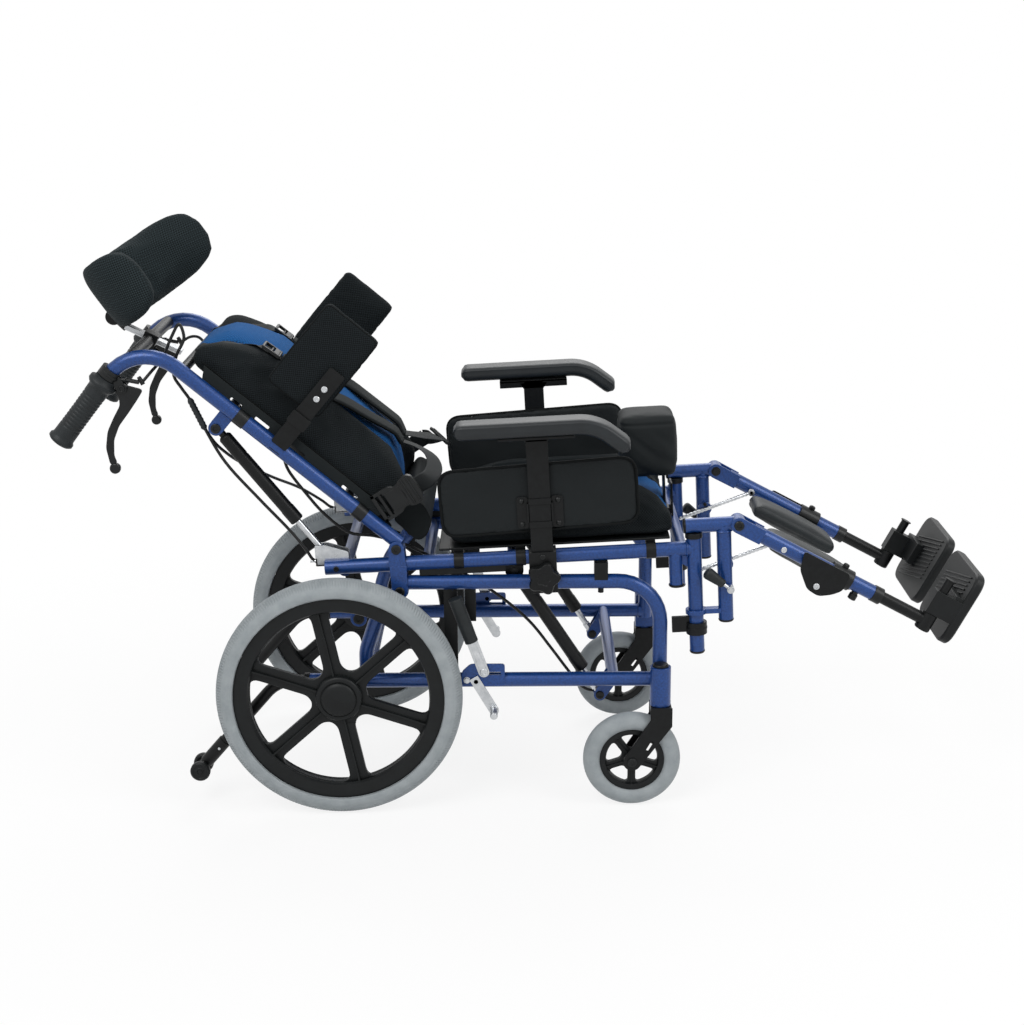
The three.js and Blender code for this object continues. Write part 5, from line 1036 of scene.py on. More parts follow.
def makeLegrests():
    spec = legrest
    lugs = cheeks(lug(0, 0, 13, 44, 0, 12.5), side, 12.6, 3.6)
    blue = [tube([(spec["start"], side, 0), (spec["end"], side, 0)], spec["tube"]), *lugs,
            block((22, side - 15.9, -9), (43, side + 15.9, 9))]
    rodX, rodZ, rodY = spec["rod"]
    pins = [crossRod(0, 0, side - 16.6, side + 16.6, 5), *socketHead(0, 0, side + 16.2, side + 19.6, 8),
            *hexHead(0, 0, side - 16.2, side - 19.2, 6.6), crossRod(rodX, rodZ, 157.5, side, 3, 16)]
    knobs = [knob([(0, 8), (5.5, 8), (5.5, 15), (7, 16), (7, 25), (5.8, 26), (0, 26)], (225, side, 0),
                  (0, 0, -1), 28),
             tube([(250, side, 0), (266, side, 0)], 13.8, count=32)]
    footX, top = spec["footX"], spec["postTop"]
    # the extension reaches well into the leg tube, so that it stays in it when it is drawn out
    black = [tube([(spec["insideX"], side, 0), (footX, side, 0)], spec["extension"]),
             rod((footX, side, 0), (footX, side, top), 7.5),
             rod((footX, side, -15), (footX, side, 13.7), 13, 32),
             rod((footX, side, top), (footX, side, top + 2), 9.5, 28),
             knob([(0, 0), (13, 0), (12, 2.4), (0, 3)], (footX, side, -14), (0, 0, -1), 32)]
    sleeve = [block((339, side - 12, 14.2), (390, side + 12, 54)), block((372, 118, 20), (386, side + 10, 60))]
    cheek = roundOutline([(113, 12.6), (199, 12.6), (200.6, -17), (188, -31), (170, -43), (148, -41),
                          (122, -18)], 7)
    bracket = [plate(cheek, side + 16.4, side + 19)]
    bolts = [socketHead(159, -29.6, side + 18.8, side + 21.8, 5.4),
             socketHead(84, -2, side + 11.6, side + 15, 5)]
    drop = math.radians(chair["legDrop"])
    backX, backZ = hanger["ratchet"][0] - hanger["hingeX"], hanger["ratchet"][1] - hanger["z"]
    guide = Vector((backX * math.cos(drop) - backZ * math.sin(drop), 0,
                    backX * math.sin(drop) + backZ * math.cos(drop)))
    way = (guide - Vector((rodX, 0, rodZ))).normalized()
    notches = [(0, -1)] + [(3.5 if i % 3 else 2.8, i * 2.3) for i in range(60)] + [(0, 137)]
    link = [knob(notches, (rodX, rodY, rodZ), way, 20), crossRod(rodX, rodZ, rodY - 3.5, rodY + 3.5, 6, 24)]
    makePair("legTube", "leg_{}", blue, legFrame, blueLacquer, "legrest_tube_{}", 0.7)
    makePair("legPins", "leg_{}", pins, legFrame, acetal, edge=0.2)
    makePair("calfBracket", "calf_pad_{}", bracket, legFrame, blackLacquer)
    makePair("calfBolt", "calf_pad_{}", bolts[0], legFrame, zincPlate, edge=0.2)
    makePair("legBolt", "leg_{}", bolts[1], legFrame, zincPlate, edge=0.2)
    makePair("legKnob", "leg_{}", knobs, legFrame, acetal, edge=0.6)
    makePair("extension", "extension_{}", black, legFrame, blackLacquer, "legrest_extension_{}")
    makePair("ratchetRod", "legrest_rod_{}", link, legFrame, zincPlate, "legrest_rod_{}", 0)
    for name, sign in sides:
        make(f"footplate.{name}", f"footplate_{name}", footplateShape(-14 * sign) + sleeve, legFrame,
             wheelNylon, [f"footplate_{name}"], sign, edge=1.0)


# Back frame, push grips, hand levers and the headrest mast

backSpec = {
    "cane": (8, 527, 75, -202, 521), "crosses": ((12, 110), (12, 343), (12, 440)), "topCross": (-29, 516),
    "strutHead": (-32, 343), "clampX": -66, "leverPivot": (-72, 496), "adjuster": (-48, 481),
    "mastLow": (-12, 462), "mastTop": (-36, 560), "lateral": (236, 264, 166, 190), "clips": (72, 312),
    "slots": ((344, 11), (292, 14), (221, 15), (115, 16)),
}
grip = {"start": -84, "end": -206}
handLever = {
    "outline": [(-66, 494), (-75, 502), (-82, 501), (-88, 489), (-97, 481), (-119, 477), (-143, 471),
                (-166, 457), (-183, 436), (-176, 430), (-170, 441), (-149, 457), (-125, 464.6), (-97, 465.8),
                (-73, 467.7), (-55, 470)],
    "tip": (-184, 427), "thick": 5,
}


def handleAt(x):
    caneX, top, _, endX, endZ = backSpec["cane"]
    return Vector((x, side, top + (top - endZ) / (caneX - endX) * (x - caneX)))


def makeBackFrame():
    spec = backSpec
    caneX, top, bend, endX, endZ = spec["cane"]
    strutX, strutZ = spec["strutHead"]
    low, high, reach, inner = spec["lateral"]
    leverX, leverZ = spec["leverPivot"]
    blue = [tube([(caneX, side, 0), (caneX, side, top), (endX, side, endZ)], tubeRadius, bend),
            crossRod(0, 0, side - 12, side + 12, 12),
            *cheeks(lug(strutX, strutZ, 12, caneX, strutZ, 12), 165, 7.3, 3)]
    clampX, clampAt = spec["clampX"], handleAt(spec["clampX"])
    adjusterX, adjusterZ = spec["adjuster"]
    adjusterTop = (adjusterX - 10, side, adjusterZ + 18)
    black = [
        *[tube([(caneX, side, s), (caneX, side, s + 20)], 13.4, count=32) for s in spec["clips"]],
        *[block((caneX + 6, 158, s + 2), (caneX + 11, 175, s + 18)) for s in spec["clips"]],
        rod((clampX - 8, side, clampAt.z + 1), (clampX + 8, side, clampAt.z + 1), 16.6, 36),
        rod((clampX - 2, side, clampAt.z), (clampX + 2, side, clampAt.z), 17.4, 36),
        *cheeks(lug(leverX, leverZ, 8, clampX, endZ, 8), side, 4.3, 3),
        crossRod(leverX, leverZ, side - 7, side + 7, 3, 16),
        *socketHead(leverX, leverZ, side + 7.2, side + 9.6, 5.6),
        rod((clampX, side, endZ - 12), adjusterTop, 4.6, 20),
        rod(adjusterTop, (adjusterX, side, adjusterZ), 3.6, 6),
    ]
    lateral = [cutPlate("lateralArm", roundOutline(oblong(14, low, reach, high), 4), [], 2, 0.5,
                        (0, inner + 2, 0)),
               block((2, side + 8, low + 4), (18, inner + 1, high - 4)),
               plate(roundOutline(oblong(56, low - 3, 78, high + 3), 4), inner + 3, inner + 8)]
    # the cover's black skirt closes the gap down to the cane but for four slots
    slots = [roundOutline(oblong(20, s - half, 26, s + half), 2.6, 3) for s, half in spec["slots"]]
    skirts = [cutPlate("skirt", [(12, 58), (38, 50), (38, 418), (12, 404)], slots, 1.2, 0.3, (0, side - 2, 0))]
    flap = roundOutline([(24, 30), (70, 30), (75, 6), (62, -22), (36, -31), (20, -24)], 9, 5)
    lowX, lowZ = spec["mastLow"]
    highX, highZ = spec["mastTop"]
    way = Vector((highX - lowX, 0, highZ - lowZ)).normalized()
    middle = Vector((lowX, 0, lowZ)) + way * ((spec["topCross"][1] - lowZ) / way.z)
    square = way.cross(Vector((0, 1, 0)))
    wide = abs(middle.x - spec["topCross"][0]) + 15

    def slab(at, along, across, thick):
        # a bar along the mast
        corners = []
        for s in (-1, 1):
            centre = at + way * s * along
            corners.append([centre + Vector((0, u, 0)) * across + square * v * thick
                            for u, v in ((1, 1), (-1, 1), (-1, -1), (1, -1))])
        return skin(corners)

    clampBlock = [slab(middle, 12, 15, wide / 2)]
    crosses = [crossRod(x, z, -side, side, 8) for x, z in spec["crosses"]]
    crosses.append(crossRod(*spec["topCross"], -side, side, 10))
    mast = [slab((Vector((lowX, 0, lowZ)) + Vector((highX, 0, highZ))) / 2, 50.4, 10, 4)]
    joint = [crossRod(-34, 584, -16, 16, 13.4, 40), rod((-36, 0, 556), (-34, 0, 584), 8.7)]
    for y in (-8, 8):
        start, end = Vector((lowX, y, lowZ)) + square * 3.2, Vector((highX, y, highZ)) + square * 3.2
        mast.append(rod(start + way * 4, end - way * 2, 1.6, 16))
    screws = [shape for x in (112, 132) for shape in socketHead(x, 250, inner + 4, inner + 6.6, 5.2)]
    strutPin = [crossRod(strutX, strutZ, 155, 175, 5), *socketHead(strutX, strutZ, 175.3, 178.6, 8),
                *hexHead(strutX, strutZ, 154.7, 151.5, 6)]
    make("backTubes", "back", blue, backFrame, blueLacquer, ["back_frame"], both=True, edge=0.6)
    make("backCrosses", "back", crosses + clampBlock, backFrame, blackLacquer, edge=1.0)
    make("backFittings", "back", black, backFrame, acetal, both=True, edge=0.6)
    make("lateralArms", "back", lateral, backFrame, blackLacquer, both=True, edge=0.4)
    make("backSkirts", "back", skirts, backFrame, clothStrap, both=True, edge=0)
    make("backFlap", "back", [plate(flap, -149, 149)], backFrame, clothStrap, edge=2.5)
    make("lateralScrews", "back", screws, backFrame, zincPlate, both=True, edge=0.15)
    make("strutPins", "back", strutPin, backFrame, acetal, both=True, edge=0.2)
    make("headrestMast", "headrest_mast", mast, backFrame, zincPlate, ["headrest_bracket"], edge=0.8)
    make("headrestJoint", "headrest_mast", joint, backFrame, blackLacquer, edge=1.5)


def makeHandles():
    outer = [(0, -9), (17.6, -9), (18.4, -3), (23.6, -2), (24, 4), (21.4, 7.6), (18.8, 10)]
    length = abs(grip["end"] - grip["start"])
    for i in range(90):
        along = 12 + i * (length - 24) / 90
        wave = 0.9 * max(0.0, math.sin(2 * math.pi * (along - 26) / 6.2)) if 26 < along < length - 30 else 0
        waist = 0.8 * math.sin(math.pi * along / length)
        outer.append((18.4 - waist - wave, along))
    outer += [(18.6, length - 10), (21, length - 7), (21, length - 3), (18, length - 0.5), (0, length)]
    way = handleAt(grip["end"]) - handleAt(grip["start"])
    outline, half = roundOutline(handLever["outline"], 5, 4), handLever["thick"] / 2
    tipX, tipZ = handLever["tip"]
    ball = [(0, -5.4), (6.6, -5.4), (8.4, -4), (9, 0), (8.4, 4), (6.6, 5.4), (0, 5.4)]
    lever = [cutPlate("lever", outline, [], half, 1.3, (0, side, 0)),
             knob(ball, (tipX, side, tipZ), (0, 1, 0), 32),
             crossRod(*backSpec["leverPivot"], side - 4, side + 4, 7, 28)]
    makePair("pushGrip", "back", [knob(outer, handleAt(grip["start"]), way, 64)], backFrame, gripRubber,
             "push_grip_{}", 0)
    makePair("handLever", "hand_lever_{}", lever, backFrame, acetal, "hand_lever_{}", 0.4)


# Locking struts

strut = {"rod": 5, "eye": 8, "neck": 6, "inside": 130, "tilt": (205, 155), "recline": (198, 165)}


def strutShapes(head, foot, offset, cylinderLength):
    # the rod reaches well into the cylinder, so that it stays in it when the strut is drawn out
    spec = strut
    head, foot = Vector((head[0], offset, head[1])), Vector((foot[0], offset, foot[1]))
    way = (foot - head).normalized()
    barrel = [(0, 17), (7.5, 17), (9.5, 19), (11, 21), (11, 60), (10.4, 61), (10.4, 63), (11, 64),
              (11, cylinderLength - 26), (11.6, cylinderLength - 25), (11.6, cylinderLength - 2),
              (10.4, cylinderLength), (0, cylinderLength)]
    eyes = [crossRod(end.x, end.z, offset - 7, offset + 7, spec["eye"], 32) for end in (head, foot)]
    cylinder = [knob(barrel, head, way, 40), rod(head + way * 4, head + way * 22, spec["neck"], 24), eyes[0]]
    bar = [rod(head + way * (cylinderLength - spec["inside"]), foot - way * 4, spec["rod"], 24), eyes[1],
           knob([(0, 0), (7, 0), (7, 9), (0, 9)], foot - way * 21, way, 6)]
    return cylinder, bar


def makeStruts():
    seatPoint = lambda x, z: seatFrame @ Vector((x, 0, z))
    toBack, toBase = backFrame.inverted(), baseFrame.inverted()
    foot = toBack @ seatPoint(-115, 59)
    head = toBase @ seatPoint(*seatSpec["strutHead"])
    pairs = [("recline", backSpec["strutHead"], (foot.x, foot.z), backFrame, "recline_strut"),
             ("tilt", (head.x, head.z), base["strutFoot"], baseFrame, "tilt_strut")]
    for kind, top, low, where, node in pairs:
        length, offset = strut[kind]
        cylinder, bar = strutShapes(top, low, offset, length)
        makePair(f"{kind}Cylinder", node + "_cylinder_{}", cylinder, where, blackLacquer, node + "_cylinder_{}",
                 0.4)
        makePair(f"{kind}Rod", node + "_rod_{}", bar, where, zincPlate, node + "_rod_{}", 0.3)


makeSeatFrame()
makeArmrests()
makeHangers()
makeLegrests()
makeBackFrame()
makeHandles()
makeStruts()
print("frames, arms, legrests and struts made")


# Release cables, along the routes of the part's source, in the back's own frame

cables = {
    "radius": 2.5,
    "recline": [(-46, -180, 477.5), (-26, -170, 477), (0, -158, 476.5), (36, -156, 486), (60, -156, 489),
                (48, -157, 470), (18, -158, 462), (-10, -159, 446), (-18, -160, 425), (-25, -160, 402),
                (-46, -164, 356), (-68.5, -165, 298), (-82.7, -165, 216.3), (-92.7, -165, 147.2),
                (-102, -165, 106), (-107, -165, 91), (-106.6, -165, 85.5)],
    "branch": [(-46, -163, 356), (-57, -153, 331), (-66, -128, 303), (-73, -95, 276), (-86, 0, 215),
               (-94, 85, 160), (-104, 145, 110), (-108.5, 163, 93), (-106.6, 165, 85.5)],
    "tilt": [(-46, 180, 477.5), (-26, 172, 471), (-13, 158, 459), (-10, 135, 440), (-10, 60, 400),
             (-11, -40, 340), (-11, -105, 285), (-12, -128, 232), (-24, -130, 210), (-36, -130, 166),
             (-45, -130, 117), (-43, -130, 67), (-22, -130, 33), (-3, -130, -9), (8, -130, -52)],
    "lower": [(8, -130, -52), (20, -130, -107), (29, -130, -189), (27, -130, -256), (15, -134, -313),
              (4.8, -142, -358.7), (-1, -146, -390), (1, -146.2, -404), (5.9, -146.2, -412.6)],
}


def makeCables():
    at = lambda *point: backFrame @ Vector(point)
    turns = {
        "reclineCable": (["recline", "branch"], "back", "seat", at(-92, 0, 150), at(-106, 0, 92),
                         ["recline_cable"]),
        "tiltCableUpper": (["tilt"], "back", "seat", at(-43, 0, 67), at(-3, 0, -9), ["tilt_cable"]),
        "tiltCableLower": (["lower"], "seat", "base", at(24, 0, -150), at(4, 0, -370), ["tilt_cable"]),
    }
    for name, (routes, first, second, start, end, nodes) in turns.items():
        shapes = [cord([Vector(point) for point in cables[route]], cables["radius"], 14) for route in routes]
        piece = soften(build(name, shapes, backFrame), 0)
        piece.data.materials.append(cableSheath)
        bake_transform(piece)
        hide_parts(*nodes)
    bootStart = cables["recline"][9]
    boot = Vector(cables["recline"][10]) - Vector(bootStart)
    ribs = [(0, -4), (3, -3), *[(5.4 if i % 2 else 4.6, i * 3.2) for i in range(16)], (3, 52), (0, 53)]
    make("cableBoot", "back", [knob(ribs, bootStart, boot, 24)], backFrame, gripRubber, edge=0)
    stops = [knob([(0, -2), (3.6, -2), (3.6, 8), (3, 12), (0, 12)], (-46, y, 476), (0.25, 0, 0.6), 16)
             for y in (side, -side)]
    make("cableStops", "back", stops, backFrame, acetal, edge=0)


# Soft goods

def blankPad(size, rounding, centre, where, name, top=None, cells=16):
    # a rounded block on a grid, its upper face shaped by top(a, b) in mm for shares a and b from -1 to 1
    counts = [max(4, round(cells * axis / max(size))) for axis in size]
    index, points, faces = {}, [], []

    def corner(i, j, k):
        key = (i, j, k)
        if key not in index:
            shares = [2 * step / count - 1 for step, count in zip(key, counts)]
            spot = Vector([share * axis / 2 for share, axis in zip(shares, size)])
            held = Vector([max(-(axis / 2 - rounding), min(axis / 2 - rounding, value))
                           for axis, value in zip(size, spot)])
            out = spot - held
            if out.length > 1e-9:
                spot = held + out * min(1.0, rounding / out.length)
            if top and shares[2] > 0:
                spot.z += top(shares[0], shares[1]) * shares[2]
            index[key] = len(points)
            points.append(spot)
        return index[key]

    for axis in range(3):
        u, v = (axis + 1) % 3, (axis + 2) % 3
        for end in (0, counts[axis]):
            for i in range(counts[u]):
                for j in range(counts[v]):
                    quad = []
                    for di, dj in ((0, 0), (1, 0), (1, 1), (0, 1)):
                        key = [0, 0, 0]
                        key[axis], key[u], key[v] = end, i + di, j + dj
                        quad.append(corner(*key))
                    faces.append(quad if end else quad[::-1])
    return build(name, [([centre @ point for point in points], faces)], where)


swapXZ = Matrix(((0, 0, 1, 0), (0, 1, 0, 0), (1, 0, 0, 0), (0, 0, 0, 1)))
swapYZ = Matrix(((1, 0, 0, 0), (0, 0, 1, 0), (0, 1, 0, 0), (0, 0, 0, 1)))


def puff(piece, voxel, pressure, cap, held=None):
    # The cover swells over its filling like blown cloth, no point further than cap, all in mm. held(point)
    # keeps what is fixed to a board or lies on one.
    remesh = piece.modifiers.new("remesh", "REMESH")
    remesh.mode = "VOXEL"
    remesh.voxel_size = voxel * mm
    applyModifiers(piece)
    rest = [vertex.co.copy() for vertex in piece.data.vertices]
    still = piece.vertex_groups.new(name="still")
    if held:
        still.add([i for i, point in enumerate(rest) if held(point)], 1.0, "REPLACE")
    cloth = piece.modifiers.new("cloth", "CLOTH")
    settings = cloth.settings
    settings.quality, settings.mass, settings.bending_stiffness = 5, 0.2, 2.0
    settings.tension_stiffness = settings.compression_stiffness = settings.shear_stiffness = 12
    settings.use_pressure, settings.uniform_pressure_force = True, pressure
    settings.effector_weights.gravity = 0
    if held:
        settings.vertex_group_mass = "still"
    cloth.point_cache.frame_start, cloth.point_cache.frame_end = 1, 20
    for frameNumber in range(1, 21):
        bpy.context.scene.frame_set(frameNumber)
    applyModifiers(piece)
    for vertex, before in zip(piece.data.vertices, rest):
        moved = vertex.co - before
        far = moved.length
        if far > cap * mm:
            vertex.co = before + moved * (cap * mm / far)
    bpy.context.scene.frame_set(1)
    smooth = piece.modifiers.new("even", "SMOOTH")
    smooth.factor, smooth.iterations = 0.5, 3
    finer = piece.modifiers.new("finer", "SUBSURF")
    finer.levels = 1
    for polygon in piece.data.polygons:
        polygon.use_smooth = True
    return applyModifiers(piece)


def press(piece, where, depth):
    # moves each point in along its normal by depth(local point) in mm, for seams, quilting and creases
    back = where.inverted()
    mesh = piece.data
    normals = [vertex.normal.copy() for vertex in mesh.vertices]
    for vertex, normal in zip(mesh.vertices, normals):
        vertex.co = vertex.co - normal * depth(back @ vertex.co) * mm
    mesh.update()
    return piece


def holdInside(piece, where, low=(-900, -900, -900), high=(900, 900, 900)):
    # keeps every point between two corners of the local frame, in mm
    back = where.inverted()
    for vertex in piece.data.vertices:
        local = back @ vertex.co
        kept = Vector([max(least, min(most, value)) for least, most, value in zip(low, high, local)])
        if kept != local:
            vertex.co = where @ kept


def mirrored(piece, name):
    copy = bpy.data.objects.new(name, piece.data.copy())
    bpy.context.scene.collection.objects.link(copy)
    for vertex in copy.data.vertices:
        vertex.co.y = -vertex.co.y
    copy.data.flip_normals()
    copy.data.update()
    return copy


def groove(distance, width, depth):
    return depth * math.exp(-(distance / width) ** 2)


def surfaceOf(piece):
    mesh = piece.data
    return BVHTree.FromPolygons([piece.matrix_world @ vertex.co for vertex in mesh.vertices],
                                [tuple(polygon.vertices) for polygon in mesh.polygons])


def layOn(tree, where, points, direction, lift, reach=160):
    # the points dropped along direction on to a surface, with its normal at each, all in the local frame
    back = where.inverted()
    way = (where.to_3x3() @ Vector(direction)).normalized()
    found = []
    for point in points:
        start = where @ Vector(point) - way * reach * mm
        hit, normal, _, _ = tree.ray_cast(start, way)
        if hit is None:
            found.append((Vector(point), -Vector(direction)))
            continue
        localNormal = (back.to_3x3() @ normal).normalized()
        found.append((back @ hit + localNormal * lift, localNormal))
    return found


def stitches(places, radius, length=3.2, space=1.8):
    # a row of sewn stitches along places, each a short bent bar of thread
    drawing = finer([point for point, _ in places], 0.8)
    shapes, piece, travelled = [], [], 0.0
    for a, b in zip(drawing, drawing[1:]):
        travelled += (b - a).length
        if travelled % (length + space) < length:
            piece.append(a)
        else:
            if len(piece) > 2:
                shapes.append(tube(piece[::2] + [piece[-1]], radius, 0, 5))
            piece = []
    return shapes


def band(places, width, thick, across=None, taper=None):
    # flat webbing along places of (point, normal): a rounded oblong section that lies in the surface
    rings = []
    points = [place[0] for place in places]
    for i, (point, normal) in enumerate(places):
        ahead = points[min(i + 1, len(points) - 1)] - points[max(i - 1, 0)]
        ahead.normalize()
        sideways = (Vector(across) if across else normal.cross(ahead)).normalized()
        up = ahead.cross(sideways).normalized()
        share = i / (len(places) - 1)
        half = (width if not taper else taper(share)) / 2
        ring = []
        for j in range(16):
            angle = 2 * math.pi * j / 16
            u = math.copysign(abs(math.cos(angle)) ** 0.35, math.cos(angle)) * half
            v = math.copysign(abs(math.sin(angle)) ** 0.6, math.sin(angle)) * thick / 2
            ring.append(point + sideways * u + up * v)
        rings.append(ring)
    return skin(rings)


def even(points, spacing):
    # the same line with points the given distance apart
    line = smoothPath([Vector(point) for point in points], 8)
    out, left = [line[0]], spacing
    for a, b in zip(line, line[1:]):
        length = (b - a).length
        if length < 1e-6:
            continue
        at = left
        while at <= length:
            out.append(a.lerp(b, at / length))
            at += spacing
        left = at - length
    return out + [line[-1]]


seatCushion = {"size": (368, 340, 44), "round": 17, "centre": (266, 0, 83.8), "crown": 14, "voxel": 6,
               "cap": 20, "strip": 89}


def makeSeatCushion():
    spec = seatCushion

    def crown(a, b):
        rolls = 2 + spec["crown"] * math.exp(-((abs(b) - 0.74) / 0.22) ** 2)
        return rolls * (1 - a ** 14) * (1 - b ** 10) * (1 - max(0, -a) ** 3)

    piece = blankPad(spec["size"], spec["round"], Matrix.Translation(spec["centre"]), seatFrame, "seatCushion",
                     crown)
    bottom = spec["centre"][2] - spec["size"][2] / 2
    back = seatFrame.inverted()
    puff(piece, spec["voxel"], 4, spec["cap"], lambda point: (back @ point).z < bottom + 8)

    def depth(point):
        seam = groove(abs(abs(point.y) - spec["strip"]), 3.2, 2.8)
        front = groove(point.z - 80, 3.0, 1.6) if point.z < 95 else 0
        ripple = 0.9 * noise.noise(Vector((point.x / 55, point.y / 55, point.z / 55)))
        middle = max(0, 1 - (point.y / 92) ** 6) * min(1, max(0, (440 - point.x) / 40))
        hollow = 17 * middle if point.z > 90 else 0
        return max(seam, front) + ripple + hollow

    press(piece, seatFrame, depth)
    holdInside(piece, seatFrame, low=(-900, -900, bottom - 0.2))
    tree = surfaceOf(piece)
    rows = []
    for y in (spec["strip"] - 4, spec["strip"] + 4):
        for sign in (1, -1):
            line = even([(86, y * sign, 0), (440, y * sign, 0)], 3)
            rows += stitches(layOn(tree, seatFrame, [(p.x, p.y, 160) for p in line], (0, 0, -1), 0.1), 0.45)
    dress(piece, "seat", stripedSeat, ["seat_cushion"])
    make("seatStitches", "seat", rows, seatFrame, thread, edge=0)


backCushion = {"size": (424, 330, 46), "round": 20, "centre": (43.3, 0, 234), "voxel": 6, "cap": 24,
               "strip": 73.5, "bolster": 22}


def makeBackCushion():
    spec = backCushion
    # the pad is made lying down and stood up: its a runs up the canes and its own z towards the user
    stand = Matrix.Translation(spec["centre"]) @ swapXZ

    def top(a, b):
        across = abs(b)
        high = max(0, a)
        roll = spec["bolster"] * math.exp(-((across - 0.73) / 0.25) ** 2) * (1 - 0.75 * high ** 2)
        middle = (15 + 14 * high ** 2) * (1 - (across / 0.5) ** 4) if across < 0.5 else 0
        return (roll + max(0, middle)) * (1 - a ** 10)

    piece = blankPad(spec["size"], spec["round"], stand, backFrame, "backCushion", top, 24)
    back = backFrame.inverted()
    puff(piece, spec["voxel"], 4, spec["cap"], lambda point: (back @ point).x < 25)

    def depth(point):
        if point.x < 40:
            return 0.6 * noise.noise(Vector((point.y / 50, point.z / 50, 1)))
        seam = groove(abs(abs(point.y) - spec["strip"]), 3.4, 3.4)
        ripple = 0.6 * noise.noise(Vector((point.x / 45, point.y / 45, point.z / 70)))
        return seam + ripple

    press(piece, backFrame, depth)
    holdInside(piece, backFrame, low=(20.4, -169, -900), high=(900, 169, 900))
    tree = surfaceOf(piece)
    rows = []
    for y in (spec["strip"] - 4, spec["strip"] + 4):
        for sign in (1, -1):
            line = even([(0, y * sign, 30), (0, y * sign, 440)], 3)
            rows += stitches(layOn(tree, backFrame, [(160, p.y, p.z) for p in line], (-1, 0, 0), 0.1), 0.45)
    welts = []
    for n in (28, 36):
        for sign in (1, -1):
            places = layOn(tree, backFrame, [(n, 0, 26 + i * 5.1) for i in range(80)], (0, -sign, 0), 0.2, 260)
            welts.append(tube([place[0] for place in places[::2]], 1.3, 0, 8))
    dress(piece, "back", stripedBack, ["back_cushion"])
    make("backStitches", "back", rows, backFrame, thread, edge=0)
    make("backWelts", "back", welts, backFrame, piping, edge=0)
    return tree


lateralPad = {"size": (160, 104, 23), "round": 7, "centre": (163, -175, 279), "voxel": 5, "cap": 5}


def makeLateralPads():
    spec = lateralPad
    lie = Matrix.Translation(spec["centre"]) @ swapYZ
    back = backFrame.inverted()
    near = blankPad(spec["size"], spec["round"], lie, backFrame, "lateralPad.right", None, 20)
    puff(near, spec["voxel"], 4, spec["cap"], lambda point: (back @ point).y < -183)

    def depth(point):
        panel = groove(point.y + 180.5, 1.8, 1.4)
        fold = 1.3 * max(0, noise.noise(Vector((point.x / 9 + point.z / 26, point.z / 60, 3))))
        return panel + fold * (1 if -186 < point.y < -164 else 0.5)

    press(near, backFrame, depth)
    holdInside(near, backFrame, low=(-900, -189.6, -900))
    tree = surfaceOf(near)
    outline = roundOutline(oblong(84, 229, 241, 329), 8, 6)
    loop = [Vector((x, 0, z)) for x, z in (*outline, outline[0])]
    middle = Vector((spec["centre"][0], 0, spec["centre"][2]))
    ring = []
    for p in finer(loop, 4):
        way = (middle - p).normalized()
        ring.append(layOn(tree, backFrame, [(p.x, -182, p.z)], tuple(way), 0.2, 60)[0][0])
    points, faces = tube(ring + ring[:2], 1.3, 0, 8)
    for name, sign, piece in (("right", -1, near), ("left", 1, mirrored(near, "lateralPad.left"))):
        body = f"lateral_pad_{name}"
        dress(piece, body, meshBack, [body])
        welt = ([Vector((p.x, p.y * sign * -1, p.z)) for p in points], faces)
        make(f"lateralWelt.{name}", body, [welt], backFrame, piping, edge=0)


headrestPad = {"half": 145, "height": 120, "thick": 40, "depth": 146, "nearDepth": 88, "flat": 58, "lean": 16,
               "centre": (8, 606), "voxel": 5, "cap": 7}


def headrestPlace(share, inset=0.0):
    spec = headrestPad
    across = (spec["half"] - inset) * math.sin(share * math.pi / 2)
    beyond = max(0.0, abs(across) - spec["flat"]) / (spec["half"] - inset - spec["flat"])
    depth = spec["nearDepth"] if across < 0 else spec["depth"]
    return Vector((depth * (1 - math.sqrt(max(0.0, 1 - min(1.0, beyond) ** 2))), across))


